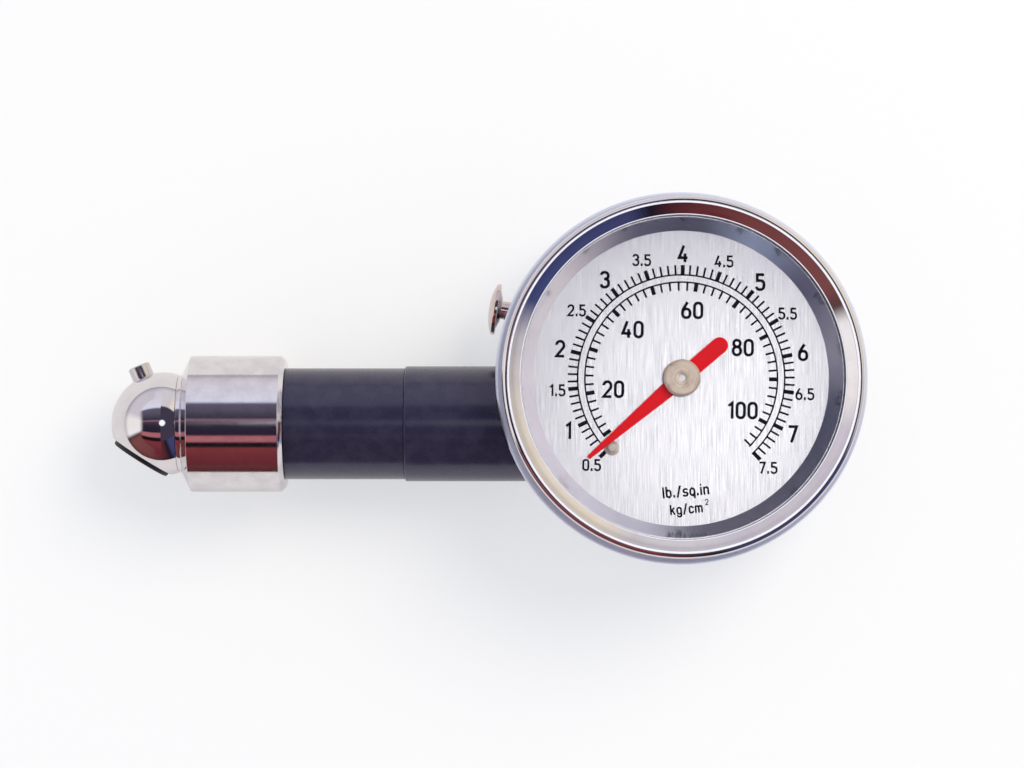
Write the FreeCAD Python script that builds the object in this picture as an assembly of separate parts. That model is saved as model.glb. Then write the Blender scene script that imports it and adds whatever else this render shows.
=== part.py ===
import FreeCAD, Part
import math
import os
from FreeCAD import Vector

# Tyre pressure gauge with a round dial case, a straight handle and an angled air chuck.
# Lengths are millimetres. The origin is the centre of the case's flat back, on the dial axis.
# +Z points out of the dial, +Y is up on the dial and the handle runs towards -X.

# Fits
RUNNING_FIT = 0.04      # radial clearance of a shaft in its hole
SLIP_FIT = 0.08         # radial clearance of a piece that slides over another
FACE_GAP = 0.02         # left between faces that a joint slides over

# Drawn case
CASE_RADIUS = 28.2
CASE_WALL = 0.8
CASE_SHOULDER_Z = 19.0
CASE_EDGE_ROUND = 2.6
CASE_SHOULDER_BEVEL = 0.6
NECK_STEP = 1.8         # from the case's side in to the neck
NECK_HEIGHT = 2.6

# Rolled bezel
BEZEL_WALL = 0.75       # outside the neck
BEZEL_LIP_REACH = 2.1   # inside the neck
BEZEL_LIP_EDGE = 0.62
BEZEL_CREST_ROUND = 0.75    # from the side up to the crest
BEZEL_CREST_LAND = 0.4      # flat ridge between the round and the slope
BEZEL_CREST_RISE = 2.1

# Dial stack, from the dial up to the glass
DIAL_DEPTH = 2.0        # of the dial's face below the case's shoulder
DIAL_THICKNESS = 0.5
DIAL_HOLE_RADIUS = 1.4
CARRIER_WALL = 0.6
CARRIER_LEDGE = 2.6
CARRIER_FLANGE = 0.5
GASKET_THICKNESS = 0.4
LENS_THICKNESS = 1.5
SPACER_FOOT_WIDTH = 2.44
SPACER_TOP_WIDTH = 0.74

# Pointer and its stop
POINTER_TIP_GAP = 3.85      # from the tip to the spacer ring
POINTER_TAIL = 8.8
POINTER_ROOT_WIDTH = 2.45
POINTER_TIP_WIDTH = 0.6
POINTER_TAIL_WIDTH = 2.5
POINTER_THICKNESS = 0.3
POINTER_EYE_RADIUS = 2.1
POINTER_LIFT = 2.0      # above the dial's face
POINTER_REST = 229.5    # degrees clockwise from the top of the dial
HUB_RADIUS = 2.8
HUB_HEIGHT = 1.1
HUB_CHAMFER = 0.35
HUB_BOSS_RADIUS = 1.3
HUB_WASHER_THICKNESS = 0.4
STOP_INSET = 3.65       # of the stop pin from the circle of the pointer's tip
STOP_ANGLE = 224.9      # degrees clockwise from the top of the dial
STOP_POST_RADIUS = 0.67
STOP_FLANGE_RADIUS = 1.16
STOP_FLANGE = 0.375
STOP_HEIGHT = 3.0

# Movement: a sector gear drives the pinion on the pointer's arbor
GEAR_MODULE = 0.22
GEAR_ADDENDUM = 0.9     # of the module, both gears
GEAR_DEDENDUM = 1.25
BACKLASH = 0.05
PINION_TEETH = 10
SECTOR_TEETH = 96
PRESSURE_ANGLE = 20.0
FLANK_STEPS = 3
TOOTH_FOOT = 0.96       # of the root circle, where a tooth's foot lies inside its gear
POINTER_SWEEP = 266.0
SECTOR_DIRECTION = 225.0    # degrees, where the sector's arbor lies from the pinion
SECTOR_THICKNESS = 0.8
SECTOR_DROP = 2.0       # of the sector's foot below the handle's axis
SECTOR_RIM = 1.3
SECTOR_HUB_WALL = 1.2
SECTOR_SPOKE_ANGLE = 6.0    # degrees that each spoke covers
PINION_LENGTH = 2.2
PLATE_THICKNESS = 1.0
PLATE_DROP = 4.4        # of the back plate's foot below the handle's axis
PLATE_PITCH = 6.0       # from the back plate's foot to the front plate's
PLATE_MARGIN = 2.2
PIVOT_RADIUS = 0.35
PIVOT_LENGTH = 0.8      # of each pivot in its plate
PINION_ARBOR_RADIUS = 0.5
SECTOR_ARBOR_RADIUS = 0.9
PILLAR_RADIUS = 1.3
PILLAR_PLACES = [(4.4, 3.4), (-10.6, -1.8), (-2.4, -11.4)]
PLATE_SCREW_PLACES = [(-6.0, 0.4), (0.6, -4.4)]
HAIRSPRING_TURNS = 5
HAIRSPRING_STRIP = 0.1
HAIRSPRING_HEIGHT = 0.7
HAIRSPRING_RISE = 0.6   # of its middle above the handle's axis
COLLET_RADIUS = 1.15
HAIRSPRING_REACH = 3.8
STUD_RADIUS = 0.45

# Bourdon tube, a flattened brass C
TUBE_INSET = 5.9        # of the tube's middle from the case's inner wall
TUBE_WIDTH = 2.2
TUBE_HEIGHT = 7.5
TUBE_WALL = 0.35
TUBE_START = 139.5      # degrees, soldered end in the socket block
TUBE_END = -125.0       # degrees, free end
TUBE_SLOT_ANGLE = 30.0  # degrees that the block's slot for the tube covers
TAIL_RADIUS = 5.2       # of the link's pin about the sector's arbor
LINK_ANGLE = 317.0      # degrees, the way the tube's free end moves under pressure
TAIL_TIP_RADIUS = 1.2
LINK_LENGTH = 5.0
LINK_THICKNESS = 0.6
LINK_WAIST = 0.84       # half the link's width between its eyes
LINK_LIFT = 0.1         # free space under and over the link
LINK_PIN_RADIUS = 0.5
LINK_PIN_HEAD_RADIUS = 0.9
LINK_OPEN_CLEARANCE = 0.18
LUG_THICKNESS = 0.8
TIP_CAP_LENGTH = 3.2
TIP_CAP_WALL = 0.7

# Socket block
BLOCK_DEPTH = 11.9      # from the case's inner wall to the block's inner face
BLOCK_LOW_Y = -12.4
BLOCK_HIGH_Y = 16.0
BLOCK_EAR = 2.3         # of the ear at the tube's end beyond the inner face
BLOCK_EAR_Y = 12.4
BLOCK_DROP = 6.4        # of its foot below the handle's axis
BLOCK_RISE = 4.6        # of its top above the handle's axis
TONGUE_END_X = 3.0
TONGUE_ROOT = 1.0       # of the tongue inside the block
TONGUE_LOW_Y = -7.6
TONGUE_HIGH_Y = 2.8
FOOT_RADIUS = 2.6
FOOT_INSET = 6.9        # from the case's inner wall
FOOT_HEIGHTS = [-8.5, 7.5]
PASSAGE_RADIUS = 0.8
PASSAGE_INSET = 7.7     # from the case's inner wall

# Handle
HANDLE_Y = -6.8
HANDLE_DEPTH = 6.4      # of its axis below the dial's face
SPIGOT_RADIUS = 3.5
SPIGOT_DEPTH = 5.8      # into the block, from the case's inner wall
STEM_RADIUS = 5.2
STEM_BORE_RADIUS = 1.5
SADDLE_THICKNESS = 1.4  # at its middle
SADDLE_RADIUS = 6.0
WIDE_SLEEVE_LENGTH = 13.9   # from the case's side
NARROW_SLEEVE_RADIUS = 8.53
NARROW_SLEEVE_LENGTH = 18.3
SLEEVE_STEP = 0.31      # from the narrow sleeve up to the wide one
SLEEVE_EDGE_ROUND = 0.3
COLLAR_STEP = 1.92      # from the narrow sleeve up to the collar
COLLAR_LENGTH = 15.7
COLLAR_SHOULDER = 1.2
COLLAR_RIM = 0.5        # of its end face outside the groove
COLLAR_CHAMFER = 0.7
COLLAR_THREAD_LENGTH = 4.2

# Chuck
BALL_RADIUS = 7.93
BALL_REACH = 3.2        # from the collar's end to the ball's centre
HEAD_SHANK_RADIUS = 5.0
HEAD_SHANK_LENGTH = 4.5
NECK_GROOVE_DEPTH = 0.43
NECK_GROOVE_WIDTH = 0.8
MOUTH_ANGLE = 237.6     # degrees, outward direction of the mouth in the dial's plane
MOUTH_CUT = 2.03        # of the flat into the ball
MOUTH_BORE_RADIUS = 3.9
MOUTH_BORE_LENGTH = 4.5
MOUTH_SEAL_WALL = 0.85
MOUTH_SEAL_PROUD = 0.75
MOUTH_SEAL_BEVEL = 0.35
MOUTH_LIP_RADIUS = 2.2
MOUTH_LIP_THICKNESS = 1.6
PROBE_RADIUS = 0.9
PROBE_RECESS = 0.3      # of its tip in the seal's lip
PROBE_FLANGE_RADIUS = 3.6
PROBE_FLANGE_THICKNESS = 1.2
PROBE_PORT_RADIUS = 0.55
PROBE_PORTS = 4
CHUCK_CHAMBER_RADIUS = 3.0
CHUCK_CHAMBER_DEPTH = 1.8
CHUCK_PASSAGE_RADIUS = 1.6
DEFLATOR_ANGLE = 113.5
DEFLATOR_RADIUS = 1.7
DEFLATOR_PROUD = 1.75
DEFLATOR_BEVEL = 0.25
DEFLATOR_SHANK_RADIUS = 1.1
DEFLATOR_SHANK_LENGTH = 2.6
DEFLATOR_SEAT = 0.4     # depth of the spot face under the pin

# Check valve in the collar
CHECK_CHAMBER_RADIUS = 4.2
CHECK_SEAT_THICKNESS = 1.0
CHECK_DISC_RADIUS = 3.2
CHECK_DISC_THICKNESS = 1.2
CHECK_STEM_RADIUS = 0.9
CHECK_STEM_LENGTH = 2.8
CHECK_SPRING_RADIUS = 2.0
CHECK_WIRE_RADIUS = 0.22
CHECK_SPRING_TURNS = 4

# Release valve and its push button
BUTTON_TILT = 9.0       # degrees above -X
BUTTON_OFFSET = 6.28    # of its axis from the dial's centre
BUTTON_PROUD = 1.2      # of its rim from the case's side
BUTTON_HEAD_RADIUS = 3.95
BUTTON_RIM = 0.35       # of the rim's front edge from its middle line
BUTTON_RIM_BACK = 0.25
BUTTON_DOME = 1.2
BUTTON_BELL_RADIUS = 3.1
BUTTON_CONE = 0.7
BUTTON_CONE_STEP = 0.4  # from the stem out to the cone's small end
BUTTON_STEM_RADIUS = 1.4
BUTTON_HOLE_PLAY = 0.24     # of the stem in the case's hole
BUTTON_ROD_RADIUS = 0.7
BUTTON_TRAVEL = 0.8
GUIDE_INSET = 1.5       # of the guide's outer end from the case's inner wall
GUIDE_RADIUS = 2.3
GUIDE_LENGTH = 2.8
VALVE_WEB = 1.0
VALVE_PORT_RADIUS = 1.0
VALVE_CHAMBER_RADIUS = 2.5
POPPET_RADIUS = 1.9
POPPET_THICKNESS = 1.3
POPPET_NOSE_RADIUS = 0.7
POPPET_NOSE_LENGTH = 1.0
RELEASE_SPRING_RADIUS = 1.5
RELEASE_WIRE_RADIUS = 0.18
RELEASE_SPRING_TURNS = 3
RELEASE_SPRING_LENGTH = 3.0
PLUG_LENGTH = 1.6
PLUG_SOCKET_RADIUS = 1.1

# Screws
BACK_SCREW_RADIUS = 1.25
BACK_SCREW_HEAD_RADIUS = 2.3
BACK_SCREW_GRIP = 3.2
BACK_SCREW_SEAT = 0.4   # of the case's wall left under a screw's head
SMALL_SCREW_RADIUS = 0.7
SMALL_SCREW_HEAD_RADIUS = 1.3
SMALL_SCREW_HEAD = 0.6
SMALL_SCREW_GRIP = 1.8
SLOT_WIDTH = 0.4

# Shared by cuts and outlines
THROUGH = 4.0           # that a cutting tool runs past the face it opens
DOME_SHARE = 0.55       # of the button's radius, where the middle of the dome's arc lies
DOME_RISE = 0.72        # of the dome's height there

# Radii that follow from those above
CASE_INNER = CASE_RADIUS - CASE_WALL
NECK_RADIUS = CASE_RADIUS - NECK_STEP
NECK_INNER = NECK_RADIUS - CASE_WALL
BEZEL_RADIUS = NECK_RADIUS + BEZEL_WALL
BEZEL_LIP_RADIUS = NECK_RADIUS - BEZEL_LIP_REACH
BEZEL_CREST_RADIUS = BEZEL_RADIUS - BEZEL_CREST_ROUND
CARRIER_RADIUS = NECK_INNER - SLIP_FIT
DIAL_RADIUS = CARRIER_RADIUS - CARRIER_WALL - SLIP_FIT
SPACER_FOOT_RADIUS = DIAL_RADIUS - SPACER_FOOT_WIDTH
SPACER_TOP_RADIUS = DIAL_RADIUS - SPACER_TOP_WIDTH
POINTER_REACH = SPACER_FOOT_RADIUS - POINTER_TIP_GAP
STOP_RADIUS = POINTER_REACH - STOP_INSET
TUBE_RADIUS = CASE_INNER - TUBE_INSET
WIDE_SLEEVE_RADIUS = NARROW_SLEEVE_RADIUS + SLEEVE_STEP
COLLAR_RADIUS = NARROW_SLEEVE_RADIUS + COLLAR_STEP
NECK_GROOVE_RADIUS = BALL_RADIUS - NECK_GROOVE_DEPTH
MOUTH_SEAL_RADIUS = MOUTH_BORE_RADIUS + MOUTH_SEAL_WALL
MOUTH_FLAT = BALL_RADIUS - MOUTH_CUT    # from the ball's centre

# Heights that follow
DIAL_TOP_Z = CASE_SHOULDER_Z - DIAL_DEPTH
DIAL_Z = DIAL_TOP_Z - DIAL_THICKNESS
NECK_TOP_Z = CASE_SHOULDER_Z + NECK_HEIGHT
GASKET_Z = NECK_TOP_Z + CARRIER_FLANGE
LENS_Z = GASKET_Z + GASKET_THICKNESS
BEZEL_LIP_Z = LENS_Z + LENS_THICKNESS
POINTER_Z = DIAL_TOP_Z + POINTER_LIFT
HANDLE_Z = DIAL_TOP_Z - HANDLE_DEPTH
SECTOR_Z = HANDLE_Z - SECTOR_DROP
BACK_PLATE_Z = HANDLE_Z - PLATE_DROP
FRONT_PLATE_Z = BACK_PLATE_Z + PLATE_PITCH
HAIRSPRING_Z = HANDLE_Z + HAIRSPRING_RISE
BLOCK_BOTTOM_Z = HANDLE_Z - BLOCK_DROP
BLOCK_TOP_Z = HANDLE_Z + BLOCK_RISE

# Places along the handle that follow
BLOCK_INNER_X = BLOCK_DEPTH - CASE_INNER
BLOCK_EAR_X = BLOCK_INNER_X + BLOCK_EAR
PASSAGE_X = PASSAGE_INSET - CASE_INNER
SPIGOT_DEPTH_X = SPIGOT_DEPTH - CASE_INNER
FOOT_PLACES = [(FOOT_INSET - CASE_INNER, height) for height in FOOT_HEIGHTS]
STEM_SHOULDER_X = -CASE_RADIUS - SADDLE_THICKNESS
WIDE_SLEEVE_X = -CASE_RADIUS - WIDE_SLEEVE_LENGTH
NARROW_SLEEVE_X = WIDE_SLEEVE_X - NARROW_SLEEVE_LENGTH
COLLAR_X = NARROW_SLEEVE_X - COLLAR_LENGTH
BALL_X = COLLAR_X - BALL_REACH
CHECK_SEAT_X = COLLAR_X + HEAD_SHANK_LENGTH
CHECK_X = CHECK_SEAT_X + CHECK_SEAT_THICKNESS + FACE_GAP
CHECK_SPRING_X = CHECK_X + CHECK_DISC_THICKNESS
STEM_END_X = NARROW_SLEEVE_X - COLLAR_THREAD_LENGTH

# Places along the button's axis that follow, from the foot nearest the dial's centre
BUTTON_RIM_S = -CASE_RADIUS - BUTTON_PROUD
GUIDE_S = GUIDE_INSET - CASE_INNER
VALVE_WEB_S = GUIDE_S + GUIDE_LENGTH
VALVE_SEAT_S = VALVE_WEB_S + VALVE_WEB
POPPET_S = VALVE_SEAT_S + FACE_GAP
RELEASE_SPRING_S = POPPET_S + POPPET_THICKNESS
PLUG_S = RELEASE_SPRING_S + RELEASE_SPRING_LENGTH

# The movement's sizes that follow
PINION_PITCH = GEAR_MODULE * PINION_TEETH / 2
SECTOR_PITCH = GEAR_MODULE * SECTOR_TEETH / 2
SECTOR_SWEEP = POINTER_SWEEP * PINION_TEETH / SECTOR_TEETH
TAIL_ANGLE = LINK_ANGLE - 90.0 - SECTOR_SWEEP / 2   # square to the link halfway through the sweep
HAIRSPRING_STEP = (HAIRSPRING_REACH - COLLET_RADIUS) / (2 * HAIRSPRING_TURNS)
UP = Vector(0, 0, 1)
ALONG = Vector(1, 0, 0)
HAIRSPRING_STUD = Vector(HAIRSPRING_REACH + (HAIRSPRING_STEP - HAIRSPRING_STRIP) / 2, 0, 0)


# Places in the plane of the dial
def polar(radius, degrees, z=0.0):
    turn = math.radians(degrees)
    return Vector(radius * math.cos(turn), radius * math.sin(turn), z)


def clock(radius, degrees, z=0.0):
    return polar(radius, 90.0 - degrees, z)


def on_handle(x):
    return Vector(x, HANDLE_Y, HANDLE_Z)


SECTOR_PLACE = polar(PINION_PITCH + SECTOR_PITCH, SECTOR_DIRECTION)
TAIL_PLACE = SECTOR_PLACE + polar(TAIL_RADIUS, TAIL_ANGLE)
TIP_PLACE = TAIL_PLACE + polar(LINK_LENGTH, LINK_ANGLE)
BALL_CENTRE = on_handle(BALL_X)
MOUTH_AXIS = polar(1, MOUTH_ANGLE)
DEFLATOR_AXIS = polar(1, DEFLATOR_ANGLE)
BUTTON_AXIS = polar(1, 360.0 - BUTTON_TILT)
BUTTON_FOOT = polar(BUTTON_OFFSET, 90.0 - BUTTON_TILT, HANDLE_Z)


def on_button(s):
    return BUTTON_FOOT + BUTTON_AXIS * s


# Solids used by many pieces
def rod(radius, start, end):
    line = end - start
    return Part.makeCylinder(radius, line.Length, start, line)


def ring(outer, inner, start, end):
    return rod(outer, start, end).cut(rod(inner, start, end))


def upright(radius, place, low, high):
    return Part.makeCylinder(radius, high - low, Vector(place[0], place[1], low), UP)


def box(low, high):
    return Part.makeBox(high[0] - low[0], high[1] - low[1], high[2] - low[2], Vector(*low))


def turned(points, base, axis):
    """Revolve an outline of (radius, height) corners; a four-number entry is an arc to its last two."""
    side = Vector(0, 0, 1).cross(axis)
    if side.Length < 1e-6:
        side = Vector(1, 0, 0)
    side.normalize()

    def spot(radius, height):
        return base + side * radius + axis * height

    edges = []
    here = spot(*points[0])
    for entry in points[1:] + [points[0]]:
        there = spot(*entry[-2:])
        if (there - here).Length < 1e-7:
            continue
        if len(entry) == 4:
            edges.append(Part.Arc(here, spot(*entry[:2]), there).toShape())
        else:
            edges.append(Part.LineSegment(here, there).toShape())
        here = there
    return Part.Face(Part.Wire(edges)).revolve(base, axis, 360)


def bend(centre, radius, start, end):
    """Arc entry of an outline, about centre, from one angle to another in degrees."""
    middle = math.radians((start + end) / 2)
    last = math.radians(end)
    return (
        centre[0] + radius * math.cos(middle),
        centre[1] + radius * math.sin(middle),
        centre[0] + radius * math.cos(last),
        centre[1] + radius * math.sin(last),
    )


def coil(radius, wire, start, axis, length, turns):
    """Compression spring of six-sided wire, whose ends lie inside the given length."""
    rise = length - 2 * wire
    spine = Part.makeHelix(rise / turns, rise, radius)
    corners = [
        Vector(radius + wire * math.cos(side * math.pi / 3), 0, wire * math.sin(side * math.pi / 3))
        for side in range(7)
    ]
    section = Part.makePolygon(corners)
    spring = Part.Wire(spine).makePipeShell([section], True, True)
    spring.Placement = FreeCAD.Placement(start + axis * wire, FreeCAD.Rotation(UP, axis))
    return spring


def slotted_screw(place, head_low, head_radius, head, shank_radius, grip):
    """Cheese-head screw along Z with its head above head_low."""
    screw = upright(head_radius, place, head_low, head_low + head)
    screw = screw.fuse(upright(shank_radius, place, head_low - grip, head_low))
    slot = box(
        (place[0] - head_radius, place[1] - SLOT_WIDTH / 2, head_low + head / 2),
        (place[0] + head_radius, place[1] + SLOT_WIDTH / 2, head_low + head),
    )
    return screw.cut(slot).removeSplitter()


# Case
def make_case_cup():
    outer_round = CASE_EDGE_ROUND
    inner_bevel = CASE_EDGE_ROUND - CASE_WALL
    shoulder = CASE_SHOULDER_Z
    turn = CASE_SHOULDER_BEVEL
    cup = turned(
        [
            (0, 0),
            (CASE_RADIUS - outer_round, 0),
            bend((CASE_RADIUS - outer_round, outer_round), outer_round, -90, 0),
            (CASE_RADIUS, shoulder - turn),
            (CASE_RADIUS - turn, shoulder),
            (NECK_RADIUS, shoulder),
            (NECK_RADIUS, NECK_TOP_Z),
            (NECK_INNER, NECK_TOP_Z),
            (NECK_INNER, shoulder - CASE_WALL),
            (CASE_INNER - turn / 2, shoulder - CASE_WALL),
            (CASE_INNER, shoulder - CASE_WALL - turn / 2),
            (CASE_INNER, CASE_WALL + inner_bevel),
            (CASE_INNER - inner_bevel, CASE_WALL),
            (0, CASE_WALL),
        ],
        Vector(0, 0, 0),
        UP,
    )
    inside = on_handle(SPIGOT_DEPTH_X)
    cup = cup.cut(rod(SPIGOT_RADIUS + SLIP_FIT, inside, on_handle(STEM_SHOULDER_X)))
    hole = BUTTON_STEM_RADIUS + BUTTON_HOLE_PLAY
    cup = cup.cut(rod(hole, on_button(BUTTON_RIM_S), on_button(THROUGH - CASE_INNER)))
    for place in FOOT_PLACES:
        cup = cup.cut(upright(BACK_SCREW_RADIUS + SLIP_FIT, place, 0, CASE_WALL))
        cup = cup.cut(upright(BACK_SCREW_HEAD_RADIUS + SLIP_FIT, place, 0, CASE_WALL - BACK_SCREW_SEAT))
    return cup


def make_back_screws():
    screws = []
    for place in FOOT_PLACES:
        base = Vector(place[0], place[1], CASE_WALL - BACK_SCREW_SEAT)
        shank = rod(BACK_SCREW_RADIUS, base, base + UP * (BACK_SCREW_GRIP + BACK_SCREW_SEAT))
        head = rod(BACK_SCREW_HEAD_RADIUS, Vector(place[0], place[1], FACE_GAP), base)
        screws.append(head.fuse(shank).removeSplitter())
    return Part.makeCompound(screws)


def make_bezel_ring():
    crest_z = BEZEL_LIP_Z + BEZEL_CREST_RISE - BEZEL_CREST_ROUND
    inner = NECK_RADIUS + SLIP_FIT / 2
    return turned(
        [
            (inner, CASE_SHOULDER_Z + SLIP_FIT),
            (BEZEL_RADIUS, CASE_SHOULDER_Z + SLIP_FIT),
            (BEZEL_RADIUS, crest_z),
            bend((BEZEL_CREST_RADIUS, crest_z), BEZEL_CREST_ROUND, 0, 90),
            (BEZEL_CREST_RADIUS - BEZEL_CREST_LAND, crest_z + BEZEL_CREST_ROUND),
            (BEZEL_LIP_RADIUS, BEZEL_LIP_Z + BEZEL_LIP_EDGE),
            (BEZEL_LIP_RADIUS, BEZEL_LIP_Z),
            (inner, BEZEL_LIP_Z),
        ],
        Vector(0, 0, 0),
        UP,
    )


# Dial, glass and the rings between them
def make_dial_carrier():
    low = DIAL_Z - CARRIER_FLANGE
    wall_inner = CARRIER_RADIUS - CARRIER_WALL
    return turned(
        [
            (CARRIER_RADIUS - CARRIER_LEDGE, low),
            (CARRIER_RADIUS, low),
            (CARRIER_RADIUS, NECK_TOP_Z),
            (NECK_RADIUS, NECK_TOP_Z),
            (NECK_RADIUS, GASKET_Z),
            (wall_inner, GASKET_Z),
            (wall_inner, DIAL_Z),
            (CARRIER_RADIUS - CARRIER_LEDGE, DIAL_Z),
        ],
        Vector(0, 0, 0),
        UP,
    )


def make_dial_plate():
    plate = upright(DIAL_RADIUS, (0, 0), DIAL_Z, DIAL_TOP_Z)
    plate = plate.cut(upright(DIAL_HOLE_RADIUS, (0, 0), DIAL_Z, DIAL_TOP_Z))
    return plate.cut(upright(STOP_POST_RADIUS, clock(STOP_RADIUS, STOP_ANGLE), DIAL_Z, DIAL_TOP_Z))


def make_spacer_ring():
    outer = DIAL_RADIUS
    top = LENS_Z - FACE_GAP
    return turned(
        [
            (SPACER_FOOT_RADIUS, DIAL_TOP_Z),
            (outer, DIAL_TOP_Z),
            (outer, top),
            (SPACER_TOP_RADIUS, top),
            (SPACER_TOP_RADIUS, top - CARRIER_FLANGE),
            (SPACER_FOOT_RADIUS, DIAL_TOP_Z + CARRIER_FLANGE),
        ],
        Vector(0, 0, 0),
        UP,
    )


def make_lens_gasket():
    inner = CARRIER_RADIUS - CARRIER_WALL
    return ring(NECK_RADIUS, inner, Vector(0, 0, GASKET_Z), Vector(0, 0, LENS_Z))


def make_lens():
    return upright(NECK_RADIUS - SLIP_FIT, (0, 0), LENS_Z, BEZEL_LIP_Z)


# Pointer, hub and stop
def make_stop_pin():
    place = clock(STOP_RADIUS, STOP_ANGLE)
    post = upright(STOP_POST_RADIUS, place, DIAL_Z, DIAL_TOP_Z + STOP_HEIGHT)
    flange = upright(STOP_FLANGE_RADIUS, place, DIAL_TOP_Z, DIAL_TOP_Z + STOP_FLANGE)
    return post.fuse(flange).removeSplitter()


def make_pointer():
    half_root = POINTER_ROOT_WIDTH / 2
    half_tip = POINTER_TIP_WIDTH / 2
    half_tail = POINTER_TAIL_WIDTH / 2
    tail_centre = POINTER_TAIL - half_tail
    corners = [
        Vector(-half_tail, -tail_centre, 0),
        Vector(-half_root, 0, 0),
        Vector(-half_tip, POINTER_REACH, 0),
        Vector(half_tip, POINTER_REACH, 0),
        Vector(half_root, 0, 0),
        Vector(half_tail, -tail_centre, 0),
    ]
    edges = [Part.LineSegment(a, b).toShape() for a, b in zip(corners, corners[1:])]
    edges.append(Part.Arc(corners[-1], Vector(0, -POINTER_TAIL, 0), corners[0]).toShape())
    blade = Part.Face(Part.Wire(edges)).extrude(UP * POINTER_THICKNESS)
    blade = blade.fuse(upright(POINTER_EYE_RADIUS, (0, 0), 0, POINTER_THICKNESS))
    blade = blade.cut(upright(HUB_BOSS_RADIUS, (0, 0), 0, POINTER_THICKNESS)).removeSplitter()
    blade.translate(UP * POINTER_Z)
    blade.rotate(Vector(0, 0, 0), UP, -POINTER_REST)
    return blade


def make_pointer_hub():
    top = POINTER_Z + POINTER_THICKNESS
    bore = PINION_ARBOR_RADIUS
    return turned(
        [
            (bore, POINTER_Z - HUB_WASHER_THICKNESS),
            (HUB_BOSS_RADIUS, POINTER_Z - HUB_WASHER_THICKNESS),
            (HUB_BOSS_RADIUS, top),
            (HUB_RADIUS, top),
            (HUB_RADIUS, top + HUB_HEIGHT - HUB_CHAMFER),
            (HUB_RADIUS - HUB_CHAMFER, top + HUB_HEIGHT),
            (bore, top + HUB_HEIGHT),
        ],
        Vector(0, 0, 0),
        UP,
    )


def make_hub_washer():
    low = POINTER_Z - HUB_WASHER_THICKNESS
    return ring(HUB_RADIUS, HUB_BOSS_RADIUS, Vector(0, 0, low), Vector(0, 0, POINTER_Z))


# Involute teeth
def involute(base_radius, turn):
    x = base_radius * (math.cos(turn) + turn * math.sin(turn))
    y = base_radius * (math.sin(turn) - turn * math.cos(turn))
    return x, y


def tooth_flank(teeth, root, tip, backlash):
    """Points from root to tip of one flank, with the tooth's middle on the X axis."""
    pitch = GEAR_MODULE * teeth / 2
    base = pitch * math.cos(math.radians(PRESSURE_ANGLE))
    at_pitch = math.tan(math.radians(PRESSURE_ANGLE))
    lead = at_pitch - math.radians(PRESSURE_ANGLE)
    half_tooth = math.pi / (2 * teeth) - backlash / (2 * pitch)
    start = max(root, base)
    first = math.sqrt((start / base) ** 2 - 1)
    last = math.sqrt((tip / base) ** 2 - 1)
    flank = []
    if root < base:
        angle = half_tooth + lead
        flank.append((root * math.cos(angle), root * math.sin(angle)))
    for step in range(FLANK_STEPS + 1):
        x, y = involute(base, first + (last - first) * step / FLANK_STEPS)
        radius = math.hypot(x, y)
        angle = half_tooth + lead - math.atan2(y, x)
        flank.append((radius * math.cos(angle), radius * math.sin(angle)))
    return flank


def tooth(teeth, root, tip, low, high, direction, backlash):
    """One tooth as a solid whose foot lies inside the gear's rim."""
    flank = tooth_flank(teeth, root, tip, backlash)
    foot = (root * TOOTH_FOOT, flank[0][1])
    upper = [foot] + flank
    lower = [(x, -y) for x, y in reversed(upper)]
    corners = [Vector(x, y, low) for x, y in upper + lower]
    corners.append(corners[0])
    solid = Part.Face(Part.makePolygon(corners)).extrude(UP * (high - low))
    solid.rotate(Vector(0, 0, 0), UP, direction)
    return solid


def make_pinion_arbor():
    low = BACK_PLATE_Z + PLATE_THICKNESS - PIVOT_LENGTH
    plate_top = BACK_PLATE_Z + PLATE_THICKNESS
    root = PINION_PITCH - GEAR_DEDENDUM * GEAR_MODULE
    tip = PINION_PITCH + GEAR_ADDENDUM * GEAR_MODULE
    top = POINTER_Z + POINTER_THICKNESS + HUB_HEIGHT - HUB_CHAMFER
    arbor = upright(PIVOT_RADIUS, (0, 0), low, plate_top)
    arbor = arbor.fuse(upright(root, (0, 0), plate_top + FACE_GAP, FRONT_PLATE_Z - FACE_GAP))
    arbor = arbor.fuse(upright(PIVOT_RADIUS, (0, 0), plate_top, plate_top + FACE_GAP))
    arbor = arbor.fuse(upright(PINION_ARBOR_RADIUS, (0, 0), FRONT_PLATE_Z - FACE_GAP, top))
    middle = SECTOR_Z + SECTOR_THICKNESS / 2
    tooth_low = middle - PINION_LENGTH / 2
    tooth_high = middle + PINION_LENGTH / 2
    teeth = []
    for number in range(PINION_TEETH):
        # a gap, not a tooth, faces the sector's arbor
        direction = SECTOR_DIRECTION + (number + 0.5) * 360.0 / PINION_TEETH
        teeth.append(tooth(PINION_TEETH, root, tip, tooth_low, tooth_high, direction, BACKLASH))
    return arbor.fuse(teeth).removeSplitter()


def sector_fan(root, low, high, start, end):
    """Ring segment about the sector's arbor that carries the teeth, with its two spokes."""
    hub = SECTOR_ARBOR_RADIUS + SECTOR_HUB_WALL
    opening = end - start - 2 * SECTOR_SPOKE_ANGLE
    disc = Part.makeCylinder(root, high - low, Vector(0, 0, low), UP, end - start)
    window = Part.makeCylinder(root - SECTOR_RIM, high - low, Vector(0, 0, low), UP, opening)
    window.rotate(Vector(0, 0, 0), UP, SECTOR_SPOKE_ANGLE)
    window = window.cut(upright(hub, (0, 0), low, high))
    disc = disc.cut(window)
    disc.rotate(Vector(0, 0, 0), UP, start)
    return disc.fuse(upright(hub, (0, 0), low, high))


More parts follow.
